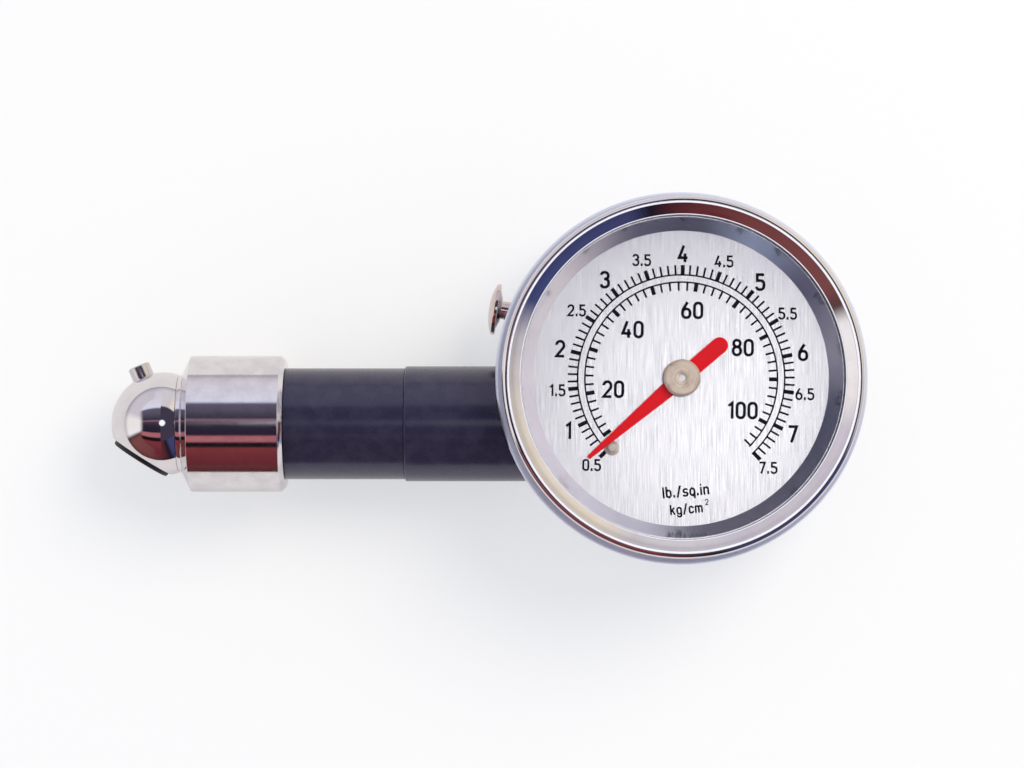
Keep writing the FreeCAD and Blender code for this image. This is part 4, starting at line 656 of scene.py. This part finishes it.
FIGURES = {     # width, then pen strokes of (x, y, round) corners; True at its end closes a stroke
    "0": (4, [[(0, 0, 1.95), (4, 0, 1.95), (4, 8, 1.95), (0, 8, 1.95), True]]),
    "1": (2.4, [[(0.2, 6.3, 0), (2.2, 8, 0), (2.2, -0.5, 0)]]),
    "2": (4, [[(0.1, 6, 0), (0.1, 8, 1.9), (4, 8, 1.9), (4, 4.9, 1.2), (0.1, 0, 0), (4.3, 0, 0)]]),
    "3": (4, [[(0.1, 6.5, 0), (0.1, 8, 1.4), (3.8, 8, 1.8), (3.8, 4.35, 1.7), (1.5, 4.35, 0)],
              [(1.5, 4.35, 0), (4, 4.35, 1.8), (4, 0, 1.9), (0, 0, 1.5), (0, 1.6, 0)]]),
    "4": (4.2, [[(2.5, 8.4, 0), (0.1, 1.9, 0), (4.6, 1.9, 0)], [(3.2, 4.2, 0), (3.2, -0.5, 0)]]),
    "5": (4, [[(4, 8, 0), (0.3, 8, 0), (0.3, 4.8, 0), (4, 4.8, 1.9), (4, 0, 1.9), (0, 0, 1.5),
               (0, 1.5, 0)]]),
    "6": (4, [[(0, 0, 1.95), (4, 0, 1.95), (4, 4.7, 1.95), (0, 4.7, 1.95), True],
              [(0, 2.4, 0), (0.1, 4.2, 1.2), (2.6, 8.4, 0)]]),
    "7": (4, [[(-0.3, 8, 0), (4, 8, 0), (1.3, -0.5, 0)]]),
    "8": (4, [[(0.25, 4.35, 1.7), (3.75, 4.35, 1.7), (3.75, 8, 1.7), (0.25, 8, 1.7), True],
              [(0, 0, 1.9), (4, 0, 1.9), (4, 4.35, 1.9), (0, 4.35, 1.9), True]]),
    ".": (0.5, [[(0.25, 1.5, 0), (0.25, -0.7, 0)]]),
    "l": (0.3, [[(0.15, 8.4, 0), (0.15, -0.5, 0)]]),
    "b": (3.4, [[(0, 8.4, 0), (0, 2, 0)], BOWL]),
    "/": (2.6, [[(0, -1, 0), (2.6, 8.6, 0)]]),
    "s": (3.2, [[(3, 4.5, 0), (3, 5.4, 0.8), (0.2, 5.4, 1.2), (0.2, 2.75, 1.1), (3.2, 2.6, 1.1),
                 (3.2, 0, 1.2), (0, 0, 0.8), (0, 1, 0)]]),
    "q": (3.4, [BOWL, [(3.4, 3, 0), (3.4, -2.6, 0)]]),
    "i": (0.3, [[(0.15, 5.9, 0), (0.15, -0.5, 0)], [(0.15, 7.1, 0), (0.15, 8.4, 0)]]),
    "n": (3.2, [[(0, 5.9, 0), (0, -0.5, 0)],
                [(0, 3.4, 0), (0, 5.4, 1.5), (3.2, 5.4, 1.5), (3.2, -0.5, 0)]]),
    "k": (3.2, [[(0, 8.4, 0), (0, -0.5, 0)], [(3.1, 5.8, 0), (0.2, 2.4, 0)],
                [(1.3, 3.4, 0), (3.3, -0.4, 0)]]),
    "g": (3.4, [BOWL, [(3.4, 3, 0), (3.4, -2.5, 1.5), (0.2, -2.5, 1), (0.2, -1.7, 0)]]),
    "c": (3.2, [[(3.2, 3.9, 0), (3.2, 5.4, 1.4), (0, 5.4, 1.6), (0, 0, 1.6), (3.2, 0, 1.4),
                 (3.2, 1.5, 0)]]),
    "m": (5.4, [[(0, 5.9, 0), (0, -0.5, 0)], [(0, 3.4, 0), (0, 5.4, 1.3), (2.7, 5.4, 1.3), (2.7, -0.5, 0)],
                [(2.7, 3.4, 0), (2.7, 5.4, 1.3), (5.4, 5.4, 1.3), (5.4, -0.5, 0)]]),
}

def pen_line(shape, points, width, closed=False):
    """Raised line of ink along points on the dial."""
    count = len(points)
    edges = []
    for number, point in enumerate(points):
        before = points[number - 1] if closed or number else None
        after = points[(number + 1) % count] if closed or number < count - 1 else None
        way_in = (point - before).normalized() if before else (after - point).normalized()
        way_out = (after - point).normalized() if after else way_in
        middle = (way_in + way_out).normalized()
        side = Vector((-middle.y, middle.x)) * (width / 2 / max(0.5, middle.dot(way_in)))
        corners = [point + side, point - side]
        heights = (INK_TOP, INK_BOTTOM)
        edges.append([shape.verts.new((corner.x, corner.y, z)) for corner in corners for z in heights])
    pairs = list(zip(edges, edges[1:] + edges[:1])) if closed else list(zip(edges, edges[1:]))
    for (a_top, a_low, b_top, b_low), (c_top, c_low, d_top, d_low) in pairs:
        shape.faces.new((b_top, d_top, c_top, a_top))
        shape.faces.new((a_low, c_low, d_low, b_low))
        shape.faces.new((a_top, c_top, c_low, a_low))
        shape.faces.new((b_low, d_low, d_top, b_top))
    if not closed:
        for end, turn in ((edges[0], 1), (edges[-1], -1)):
            shape.faces.new([end[0], end[1], end[3], end[2]][::turn])

def clock(radius, degrees):
    """Point on the dial, degrees clockwise from the top."""
    turn = math.radians(90 - degrees - PRINT_TURN)
    return Vector((radius * math.cos(turn), radius * math.sin(turn)))

def write(shape, words, centre, height, tilt=0.0):
    """Figures in a row, with the middle of the row at a point and the row tilted up."""
    unit = height / FIGURE_HEIGHT
    width = sum(FIGURES[sign][0] for sign in words) + (FIGURE_GAP + PEN) * (len(words) - 1)
    row = Matrix.Rotation(math.radians(tilt - PRINT_TURN), 2)
    start = -width / 2
    for sign in words:
        for stroke in FIGURES[sign][1]:
            closed = stroke[-1] is True
            line = rounded(stroke[:-1] if closed else stroke, CURVE_STEPS)
            placed = [centre + row @ ((point + Vector((start, -4))) * unit) for point in line]
            pen_line(shape, placed, PEN * unit, closed)
        start += FIGURES[sign][0] + FIGURE_GAP + PEN

ink_shape = bmesh.new()
psi_start = SCALE_START + (FIRST_PSI / PSI_PER_BAR - FIRST_BAR) * DEGREES_PER_BAR
psi_end = SCALE_START + (LAST_PSI / PSI_PER_BAR - FIRST_BAR) * DEGREES_PER_BAR
for radius, first, last in ((OUTER_LINE, SCALE_START, -SCALE_START), (INNER_LINE, psi_start, psi_end)):
    ends = math.degrees(THICK_TICK / 2 / radius)
    sweep = last - first + 2 * ends
    turns = [first - ends + sweep * step / RING_STEPS for step in range(RING_STEPS + 1)]
    pen_line(ink_shape, [clock(radius, turn) for turn in turns], LINE_WIDTH)
for tenth in range(int(FIRST_BAR * 10), int(LAST_BAR * 10) + 1):
    angle = SCALE_START + (tenth / 10 - FIRST_BAR) * DEGREES_PER_BAR
    width = THIN_TICK if tenth % 5 else THICK_TICK
    pen_line(ink_shape, [clock(OUTER_LINE, angle), clock(OUTER_TICK_END, angle)], width)
    if tenth % 5 == 0:
        figure = "%d" % (tenth // 10) if tenth % 10 == 0 else "%.1f" % (tenth / 10)
        height = LARGE_FIGURE if tenth % 10 == 0 else SMALL_FIGURE
        write(ink_shape, figure, clock(OUTER_FIGURES, angle), height)
for psi in range(FIRST_PSI, LAST_PSI + 1, 2):
    angle = SCALE_START + (psi / PSI_PER_BAR - FIRST_BAR) * DEGREES_PER_BAR
    width = THIN_TICK if psi % 10 else THICK_TICK
    pen_line(ink_shape, [clock(INNER_TICK_END, angle), clock(INNER_LINE, angle)], width)
    if psi % 20 == 0:
        write(ink_shape, "%d" % psi, clock(INNER_FIGURES, angle), LARGE_FIGURE)
for words, middle, height in LEGEND:
    write(ink_shape, words, middle, height, LEGEND_TILT)
ink = finish("black_ink", fine_marks, 0.0, dict(
    Colour=(0.006, 0.006, 0.014, 1), Mark_Colour=(0.020, 0.020, 0.035, 1), Size=0.0001, Amount=0.6,
    Depth=0.000001, Smooth=0.5, Rough=0.65), Specular_IOR_Level=0.05)
dial_print = make_piece("dial_print", ink_shape, ink)
dress(dial_print, "case", "carrier_black")

# Stop pin. A shouldered steel post pressed into the dial, where the pointer's blade comes to rest.
stop_low, stop_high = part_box("stop_pin")
STOP_PLACE = Vector(((stop_low.x + stop_high.x) / 2, (stop_low.y + stop_high.y) / 2, 0))
STOP_POST = 0.67 * MM
STOP_FLANGE = 1.16 * MM
STOP_FLANGE_TOP = dial_high.z + 0.375 * MM
RING_MARK_EDGE = (0.35, 0.7)
SCRATCH_EDGE = (0.45, 0.7)
ringed, given, made = node_group("turning_rings", MARK_INPUTS + [("Centre", "Vector", (0, 0, 0)),
                                 ("Axis", "Vector", (0, 0, 1))], LOOK_OUTPUTS)
spot = add_node(ringed, "TexCoord").outputs["Object"]
arm = add_node(ringed, "VectorMath", {0: spot, 1: given["Centre"]}, operation="SUBTRACT").outputs[0]
height = add_node(
    ringed, "VectorMath", {0: arm, 1: given["Axis"]}, operation="DOT_PRODUCT").outputs["Value"]
around = add_node(ringed, "VectorMath", {0: arm, 1: given["Axis"]}, operation="CROSS_PRODUCT").outputs[0]
radius = add_node(ringed, "VectorMath", {0: around}, operation="LENGTH").outputs["Value"]
feed = calculate(ringed, "DIVIDE", calculate(ringed, "ADD", height, radius), given["Size"])
rings = add_node(ringed, "TexNoise", {"W": feed, "Scale": 1.0, "Detail": 2.0}, noise_dimensions="1D")
scratch_scale = calculate(ringed, "DIVIDE", 0.2, given["Size"])
scratches = add_node(ringed, "TexNoise", {
    "Vector": spot, "Scale": scratch_scale, "Detail": 5.0, "Roughness": 0.7})
ring_share = mask(ringed, rings.outputs["Fac"], *RING_MARK_EDGE)
scratch_share = mask(ringed, scratches.outputs["Fac"], *SCRATCH_EDGE)
share = calculate(ringed, "MULTIPLY", calculate(ringed, "ADD", ring_share, scratch_share), 0.5)
share = calculate(ringed, "MULTIPLY", share, given["Amount"])
finish_group(ringed, given, made, share, rings.outputs["Fac"])

pin_nickel = finish("turned_pin_nickel", ringed, 0.3, dict(
    Colour=(1.0, 0.92, 0.82, 1), Mark_Colour=(0.30, 0.22, 0.18, 1), Centre=STOP_PLACE, Size=0.00022,
    Amount=0.9, Depth=0.000006, Smooth=0.22, Rough=0.4))
post = turned(rounded([
    (0, stop_low.z, 0),
    (STOP_POST, stop_low.z, 0),
    (STOP_POST, dial_high.z, 0),
    (STOP_FLANGE, dial_high.z, 0),
    (STOP_FLANGE, STOP_FLANGE_TOP, 0.24 * MM),
    (STOP_POST, STOP_FLANGE_TOP, 0),
    (STOP_POST, stop_high.z, 0.3 * MM),
    (0, stop_high.z, 0),
]), STOP_PLACE, UP, SMALL_SIDES)
dress(make_piece("stop_post", post, pin_nickel), "case", "bright_steel", "stop_pin")

# Spacer ring. Pressed from the dial's own silver sheet, it slopes up from the dial to the glass
# and holds both apart.
spacer_low, spacer_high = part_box("spacer_ring")
SPACER_FOOT = 22.4 * MM
SPACER_TOP = 24.1 * MM
SPACER_EDGE = 0.5 * MM
ring_silver = finish("satin_silver", fine_marks, 0.9, dict(
    Colour=(0.78, 0.78, 0.86, 1), Mark_Colour=(0.62, 0.62, 0.72, 1), Size=0.0003, Amount=0.4,
    Depth=0.000001, Smooth=0.16, Rough=0.26))
spacer = turned(rounded([
    (SPACER_FOOT, spacer_low.z, 0),
    (spacer_high.x, spacer_low.z, 0),
    (spacer_high.x, spacer_high.z, 0),
    (SPACER_TOP, spacer_high.z, 0),
    (SPACER_TOP, spacer_high.z - SPACER_EDGE, 0),
    (SPACER_FOOT, spacer_low.z + SPACER_EDGE, 0.4 * MM),
]), DIAL_AXIS, UP, CASE_SIDES)
dress(make_piece("spacer", spacer, ring_silver), "case", "ring_silver", "spacer_ring")

# Glass. A flat disc of window glass on a black gasket, held down by the bezel's lip.
lens_low, lens_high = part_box("lens")
GLASS_EDGE = 0.08 * MM
glass = bpy.data.materials.new("clear_glass")
glass.use_nodes = True
glass_nodes = glass.node_tree
glass_shader = glass_nodes.nodes["Principled BSDF"]
glass_shader.inputs["Base Color"].default_value = (1, 1, 1, 1)
glass_shader.inputs["Roughness"].default_value = 0.0
glass_shader.inputs["IOR"].default_value = 1.45
glass_shader.inputs["Transmission Weight"].default_value = 1.0
lamp_ray = add_node(glass_nodes, "LightPath").outputs["Is Shadow Ray"]
lamp_way = add_node(glass_nodes, "BsdfTransparent").outputs[0]
glass_mix = add_node(glass_nodes, "MixShader", {0: lamp_ray, 1: glass_shader.outputs[0], 2: lamp_way})
glass_nodes.links.new(glass_mix.outputs[0], glass_nodes.nodes["Material Output"].inputs["Surface"])
disc = turned(rounded([
    (0, lens_low.z, 0),
    (lens_high.x, lens_low.z, GLASS_EDGE),
    (lens_high.x, lens_high.z, GLASS_EDGE),
    (0, lens_high.z, 0),
], 2), DIAL_AXIS, UP, CASE_SIDES)
dress(make_piece("glass", disc, glass), "case", "lens_clear", "lens")

# Bezel. A ring of brass strip, rolled over the glass and round the case's neck, polished and
# chrome plated: a round crest, a flat slope down to the glass and a thin bright lip.
bezel_low, bezel_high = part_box("bezel_ring")
BEZEL_INNER = 26.44 * MM
BEZEL_LIP = 24.3 * MM
BEZEL_LIP_EDGE = 0.62 * MM
BEZEL_CREST_ROUND = 0.75 * MM
BEZEL_CREST_LAND = 0.4 * MM
BEZEL_LIP_LAND = 0.2 * MM
BEZEL_LIP_ROUND = 0.06 * MM
BEZEL_EDGE_ROUND = 0.12 * MM
BEZEL_HOLLOW = 0.04 * MM        # of the slope, below a straight line
BEZEL_HOLLOW_ROUND = 15 * MM
BEZEL_SIDES = 256
chrome = finish("bright_chrome", fine_marks, 1.0, dict(
    Colour=(0.84, 0.83, 0.86, 1), Mark_Colour=(0.64, 0.61, 0.66, 1), Size=0.00022, Amount=0.4,
    Depth=0.0000010, Smooth=0.05, Rough=0.14))
lip_top = lens_high.z + BEZEL_LIP_EDGE
land = bezel_high.x - BEZEL_CREST_ROUND - BEZEL_CREST_LAND
lip_land = BEZEL_LIP + BEZEL_LIP_LAND
lip_land_top = lip_top + BEZEL_LIP_LAND * (bezel_high.z - lip_top) / (land - BEZEL_LIP)
ring = turned(rounded([
    (BEZEL_INNER, bezel_low.z, 0),
    (bezel_high.x, bezel_low.z, BEZEL_EDGE_ROUND),
    (bezel_high.x, bezel_high.z, BEZEL_CREST_ROUND),
    (land, bezel_high.z, BEZEL_EDGE_ROUND),
    ((land + lip_land) / 2, (bezel_high.z + lip_land_top) / 2 - BEZEL_HOLLOW, BEZEL_HOLLOW_ROUND),
    (lip_land, lip_land_top, BEZEL_LIP_ROUND),
    (BEZEL_LIP, lip_land_top, BEZEL_LIP_ROUND),
    (BEZEL_LIP, lens_high.z, 0),
    (BEZEL_INNER, lens_high.z, 0),
], 12), DIAL_AXIS, UP, BEZEL_SIDES)
bezel = make_piece("bezel", ring, chrome)
dress(bezel, "case", "bright_chrome", "bezel_ring")

# Pointer. Stamped from thin steel and painted red, with a round eye under the hub and a tail to
# balance it. It is drawn pointing up and turned to its rest beside the stop pin.
pointer_low, pointer_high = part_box("pointer")
POINTER_REACH = 18.55 * MM
POINTER_ROOT = 1.225 * MM       # half widths of the blade and the tail
POINTER_TIP = 0.3 * MM
POINTER_TAIL = 1.25 * MM
POINTER_TAIL_REACH = 8.8 * MM
POINTER_EYE = 2.1 * MM
POINTER_BEVEL = 0.05 * MM
POINTER_REST = 229.5            # degrees clockwise from the top
HUB_BOSS = 1.3 * MM

pointer_red = finish("pointer_red_paint", fine_marks, 0.0, dict(
    Colour=(1.0, 0.004, 0.010, 1), Mark_Colour=(0.86, 0.010, 0.02, 1), Size=0.0003, Amount=0.5,
    Depth=0.000002, Smooth=0.32, Rough=0.45), Specular_IOR_Level=0.3)
tail_centre = (0, POINTER_TAIL - POINTER_TAIL_REACH)
blade_start = math.degrees(math.acos(POINTER_ROOT / POINTER_EYE))
right_side = [Vector((POINTER_TIP, POINTER_REACH))]
right_side += arc((0, 0), POINTER_EYE, blade_start, -blade_start, 24)
right_side += arc(tail_centre, POINTER_TAIL, 0, -80, 8)
left_side = [Vector((-point.x, point.y)) for point in reversed(right_side)]
outline = right_side + left_side
blade = bmesh.new()
lower, upper = [[blade.verts.new((point.x, point.y, z)) for point in outline]
                for z in (pointer_low.z, pointer_high.z)]
blade.faces.new(lower)
blade.faces.new(upper)
for number in range(len(outline)):
    blade.faces.new((lower[number - 1], lower[number], upper[number], upper[number - 1]))
bmesh.ops.recalc_face_normals(blade, faces=blade.faces)
rest_turn = Matrix.Rotation(math.radians(-POINTER_REST), 3, "Z")
bmesh.ops.rotate(blade, verts=blade.verts, matrix=rest_turn)
blade_piece = make_piece("pointer_blade", blade, pointer_red, POINTER_BEVEL)
drill(blade_piece, HUB_BOSS, (0, 0, pointer_low.z - MM), (0, 0, pointer_high.z + MM))
dress(blade_piece, "pointer", "pointer_red", "pointer")

# Hub and washer. The hub is turned from brass, with tool rings on its face and a hollow where the
# arbor's end sits. The steel washer lies under the pointer.
hub_low, hub_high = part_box("pointer_hub")
HUB_RADIUS = 2.8 * MM
HUB_CHAMFER = 0.35 * MM
HUB_BORE = 0.5 * MM
HUB_HOLLOW = 0.85 * MM
HUB_HOLLOW_DEPTH = 0.22 * MM
hub_brass = finish("turned_hub_brass", ringed, 0.2, dict(
    Colour=(1.0, 0.86, 0.72, 1), Mark_Colour=(0.40, 0.23, 0.14, 1), Size=0.00024, Amount=0.9,
    Depth=0.000005, Smooth=0.22, Rough=0.4))
hub = turned(rounded([
    (HUB_BORE, hub_low.z, 0),
    (HUB_BOSS, hub_low.z, 0),
    (HUB_BOSS, pointer_high.z, 0),
    (HUB_RADIUS, pointer_high.z, 0),
    (HUB_RADIUS, hub_high.z - HUB_CHAMFER, 0.1 * MM),
    (HUB_RADIUS - HUB_CHAMFER, hub_high.z, 0.1 * MM),
    (HUB_HOLLOW, hub_high.z, 0.1 * MM),
    (HUB_BORE, hub_high.z - HUB_HOLLOW_DEPTH, 0),
]), DIAL_AXIS, UP, MIDDLE_SIDES)
dress(make_piece("hub", hub, hub_brass), "pointer", "hub_brass", "pointer_hub")
washer_low, washer_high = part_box("hub_washer")
washer = turned(rounded([
    (HUB_BOSS, washer_low.z, 0),
    (HUB_RADIUS, washer_low.z, 0.08 * MM),
    (HUB_RADIUS, washer_high.z, 0.08 * MM),
    (HUB_BOSS, washer_high.z, 0),
], 3), DIAL_AXIS, UP, MIDDLE_SIDES)
dress(make_piece("washer", washer, steel), "pointer", "bright_steel", "hub_washer")

# Release button. Turned from one bar and nickel plated: a domed head with a thin rim, a bell
# below it and a stem that runs into the case, where it opens the release valve.
BUTTON_RIM = 29.4 * MM          # of the rim from the button's foot on the dial's centre line
BUTTON_RADIUS = 3.95 * MM
BUTTON_DOME = 1.2 * MM
BUTTON_DOME_ROUND = 0.9 * MM
BUTTON_DOME_POINTS = [(1.2 * MM, -1.15 * MM), (2.4 * MM, -0.95 * MM), (3.4 * MM, -0.62 * MM)]
BUTTON_EDGE = 0.35 * MM
BUTTON_BACK = 0.25 * MM
BUTTON_BELL = 3.1 * MM
BUTTON_BELL_END = 1.8 * MM
BUTTON_BELL_HEIGHT = 0.7 * MM
BUTTON_STEM = 1.4 * MM
BUTTON_ROD = 0.7 * MM
BUTTON_STEM_END = 7.14 * MM
BUTTON_ROD_END = 8.98 * MM
button_nickel = finish("polished_nickel", fine_marks, 1.0, dict(
    Colour=(0.76, 0.67, 0.64, 1), Mark_Colour=(0.46, 0.37, 0.36, 1), Size=0.0002, Amount=0.6,
    Depth=0.000002, Smooth=0.1, Rough=0.26))
dome = [(radius, height, BUTTON_DOME_ROUND) for radius, height in BUTTON_DOME_POINTS]
button = turned(rounded([(0, -BUTTON_DOME, 0)] + dome + [
    (BUTTON_RADIUS, -BUTTON_EDGE, 0.2 * MM),
    (BUTTON_RADIUS, BUTTON_BACK, 0.16 * MM),
    (BUTTON_BELL, BUTTON_BACK, 0.1 * MM),
    (BUTTON_BELL_END, BUTTON_BELL_HEIGHT, 0.12 * MM),
    (BUTTON_STEM, BUTTON_BELL_HEIGHT, 0),
    (BUTTON_STEM, BUTTON_STEM_END, 0.1 * MM),
    (BUTTON_ROD, BUTTON_STEM_END, 0),
    (BUTTON_ROD, BUTTON_ROD_END, 0.1 * MM),
    (0, BUTTON_ROD_END, 0),
]), on_button(-BUTTON_RIM), BUTTON_AXIS, MIDDLE_SIDES)
dress(make_piece("push_button", button, button_nickel), "button", "button_nickel", "release_button")

# Grip sleeves. Two thick tubes on the handle's stem, turned smooth and stove enamelled black. The
# wide one is cut to the case's curve, the narrow one runs from it to the collar.
wide_low, wide_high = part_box("wide_sleeve")
SLEEVE_SIDES = 160
WIDE_SLEEVE = (wide_high.z - wide_low.z) / 2
NARROW_SLEEVE = (handle_high.z - handle_low.z) / 2
STEM = 5.2 * MM
STEM_PLAY = 0.08 * MM
SADDLE = 6.0 * MM
SADDLE_FOOT = -29.68 * MM
SLEEVE_ROUND = 0.3 * MM
COPE = CASE_RADIUS + STEM_PLAY
enamel = finish("black_enamel", fine_marks, 0.0, dict(
    Colour=(0.020, 0.020, 0.045, 1), Mark_Colour=(0.060, 0.055, 0.090, 1), Size=0.00016, Amount=0.5,
    Depth=0.000004, Smooth=0.26, Rough=0.42), Specular_Tint=(0.78, 0.74, 1.0, 1), Coat_Weight=0.4,
    Coat_Roughness=0.14)
sleeve = turned(rounded([
    (STEM + STEM_PLAY, wide_low.x, 0),
    (WIDE_SLEEVE, wide_low.x, SLEEVE_ROUND),
    (WIDE_SLEEVE, 0, 0),
    (SADDLE + STEM_PLAY, 0, 0),
    (SADDLE + STEM_PLAY, SADDLE_FOOT, 0),
    (STEM + STEM_PLAY, SADDLE_FOOT, 0),
]), on_handle(0), ALONG, SLEEVE_SIDES)
for corner in sleeve.verts:
    if corner.co.x > -MM:
        corner.co.x = -math.sqrt(COPE ** 2 - corner.co.y ** 2)
dress(make_piece("wide_grip", sleeve, enamel), "case", "sleeve_black", "wide_sleeve")
sleeve = turned(rounded([
    (STEM + STEM_PLAY, handle_low.x, 0),
    (NARROW_SLEEVE, handle_low.x, 0.12 * MM),
    (NARROW_SLEEVE, handle_high.x, 0.12 * MM),
    (STEM + STEM_PLAY, handle_high.x, 0),
], 3), on_handle(0), ALONG, SLEEVE_SIDES)
dress(make_piece("narrow_grip", sleeve, enamel), "case", "sleeve_black", "narrow_sleeve")

# Collar. A barrel turned from brass, polished and chrome plated, that holds the check valve and
# joins the handle's stem to the chuck. Bright chamfers run round both its ends.
collar_low, collar_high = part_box("collar")
COLLAR = (collar_high.z - collar_low.z) / 2
COLLAR_NECK = 8.0 * MM
COLLAR_SHOULDER = 1.2 * MM
COLLAR_CHAMFER = 0.7 * MM
SHANK = 5.0 * MM
SHANK_LENGTH = 4.5 * MM
CHAMBER = 4.2 * MM
SPIGOT = 3.5 * MM
THREAD_LENGTH = 4.2 * MM
COLLAR_ROUND = 0.12 * MM
barrel = turned(rounded([
    (SHANK, collar_low.x, 0),
    (COLLAR_NECK, collar_low.x, COLLAR_ROUND),
    (COLLAR, collar_low.x + COLLAR_SHOULDER, COLLAR_ROUND),
    (COLLAR, collar_high.x - COLLAR_CHAMFER, COLLAR_ROUND),
    (COLLAR - COLLAR_CHAMFER, collar_high.x, COLLAR_ROUND),
    (SPIGOT, collar_high.x, 0),
    (SPIGOT, collar_high.x - THREAD_LENGTH, 0),
    (CHAMBER, collar_high.x - THREAD_LENGTH, 0),
    (CHAMBER, collar_low.x + SHANK_LENGTH, 0),
    (SHANK, collar_low.x + SHANK_LENGTH, 0),
], 4), on_handle(0), ALONG, SLEEVE_SIDES)
worn_chrome = finish("worn_chrome", fine_marks, 1.0, dict(
    Colour=(0.84, 0.83, 0.86, 1), Mark_Colour=(0.60, 0.57, 0.62, 1), Size=0.00018, Amount=0.7,
    Depth=0.0000035, Smooth=0.06, Rough=0.16))
dress(make_piece("barrel", barrel, worn_chrome), "case", "bright_chrome", "collar")

# Chuck head. A chromed ball with a waisted shank that fits the collar, cut flat at an angle for
# its mouth and bored through for the seal, the probe and the air way.
BALL = 7.93 * MM
BALL_PLACE = on_handle(-79.3 * MM)
GROOVE = 7.5 * MM
GROOVE_START = 2.4 * MM
GROOVE_END = 3.2 * MM
MOUTH_AXIS = Vector((math.cos(math.radians(237.6)), math.sin(math.radians(237.6)), 0))
MOUTH_FLAT = 5.9 * MM
SEAL = 4.75 * MM
SEAL_FOOT = 0.55 * MM
FLANGE = 3.6 * MM
FLANGE_FOOT = -0.65 * MM
CHAMBER_RADIUS = 3 * MM
AIR_WAY = 1.6 * MM
BALL_STEPS = 56
BALL_SIDES = 128
CHAMBER_FOOT = -2.45 * MM
PIN_AXIS = Vector((math.cos(math.radians(113.5)), math.sin(math.radians(113.5)), 0))
PIN = 1.7 * MM
PIN_SEAT = 7.53 * MM
PIN_SHANK = 1.1 * MM
PIN_SHANK_LENGTH = 2.6 * MM

ball_outline = arc((0, 0), BALL, -90, math.degrees(math.asin(GROOVE_START / BALL)), BALL_STEPS)
ball_outline[0].x = 0
ball_outline += rounded([
    (GROOVE, GROOVE_START, 0.1 * MM),
    (GROOVE, GROOVE_END, 0),
    (SHANK, GROOVE_END, 0),
    (SHANK, GROOVE_END + SHANK_LENGTH, 0.1 * MM),
    (0, GROOVE_END + SHANK_LENGTH, 0),
], 3)
head = make_piece("chuck_ball", turned(ball_outline, BALL_PLACE, ALONG, BALL_SIDES), chrome)
cut(head, turned([
    (0, CHAMBER_FOOT),
    (CHAMBER_RADIUS, CHAMBER_FOOT),
    (CHAMBER_RADIUS, FLANGE_FOOT),
    (FLANGE, FLANGE_FOOT),
    (FLANGE, SEAL_FOOT),
    (SEAL, SEAL_FOOT),
    (SEAL, MOUTH_FLAT),
    (2 * BALL, MOUTH_FLAT),
    (2 * BALL, 2 * BALL),
    (0, 2 * BALL),
], BALL_PLACE, MOUTH_AXIS, MIDDLE_SIDES))
drill(head, AIR_WAY, BALL_PLACE, on_handle(collar_low.x + SHANK_LENGTH + MM))
drill(head, PIN, BALL_PLACE + PIN_AXIS * PIN_SEAT, BALL_PLACE + PIN_AXIS * 2 * BALL)
drill(head, PIN_SHANK, BALL_PLACE + PIN_AXIS * (PIN_SEAT - PIN_SHANK_LENGTH), BALL_PLACE + PIN_AXIS * BALL)
dress(head, "case", "bright_chrome", "chuck_head")

# Mouth seal. A moulded black rubber cup, pressed into the mouth, which the tyre's valve pushes
# into; its lip closes round the valve.
SEAL_TOP = 6.65 * MM
SEAL_BEVEL = 0.35 * MM
SEAL_BORE = 3.9 * MM
SEAL_BORE_LENGTH = 4.5 * MM
SEAL_LIP = 2.2 * MM
seal = turned(rounded([
    (SEAL_LIP, SEAL_FOOT, 0),
    (SEAL, SEAL_FOOT, 0),
    (SEAL, SEAL_TOP, SEAL_BEVEL),
    (SEAL_BORE, SEAL_TOP, 0.12 * MM),
    (SEAL_BORE, SEAL_TOP - SEAL_BORE_LENGTH, 0),
    (SEAL_LIP, SEAL_TOP - SEAL_BORE_LENGTH, 0.15 * MM),
]), BALL_PLACE, MOUTH_AXIS, MIDDLE_SIDES)
dress(make_piece("seal_cup", seal, black_rubber), "case", "rubber_black", "mouth_seal")

# Deflator pin. A turned steel pin in a spot face on the back of the head, which presses a tyre
# valve's core to let air out.
PIN_TOP = 9.68 * MM
PIN_BEVEL = 0.25 * MM
pin = turned(rounded([
    (0, PIN_SEAT - PIN_SHANK_LENGTH, 0),
    (PIN_SHANK, PIN_SEAT - PIN_SHANK_LENGTH, 0),
    (PIN_SHANK, PIN_SEAT, 0),
    (PIN, PIN_SEAT, 0),
    (PIN, PIN_TOP, PIN_BEVEL),
    (0, PIN_TOP, 0),
]), BALL_PLACE, PIN_AXIS, 64)
dress(make_piece("deflator", pin, steel), "case", "bright_steel", "deflator_pin")
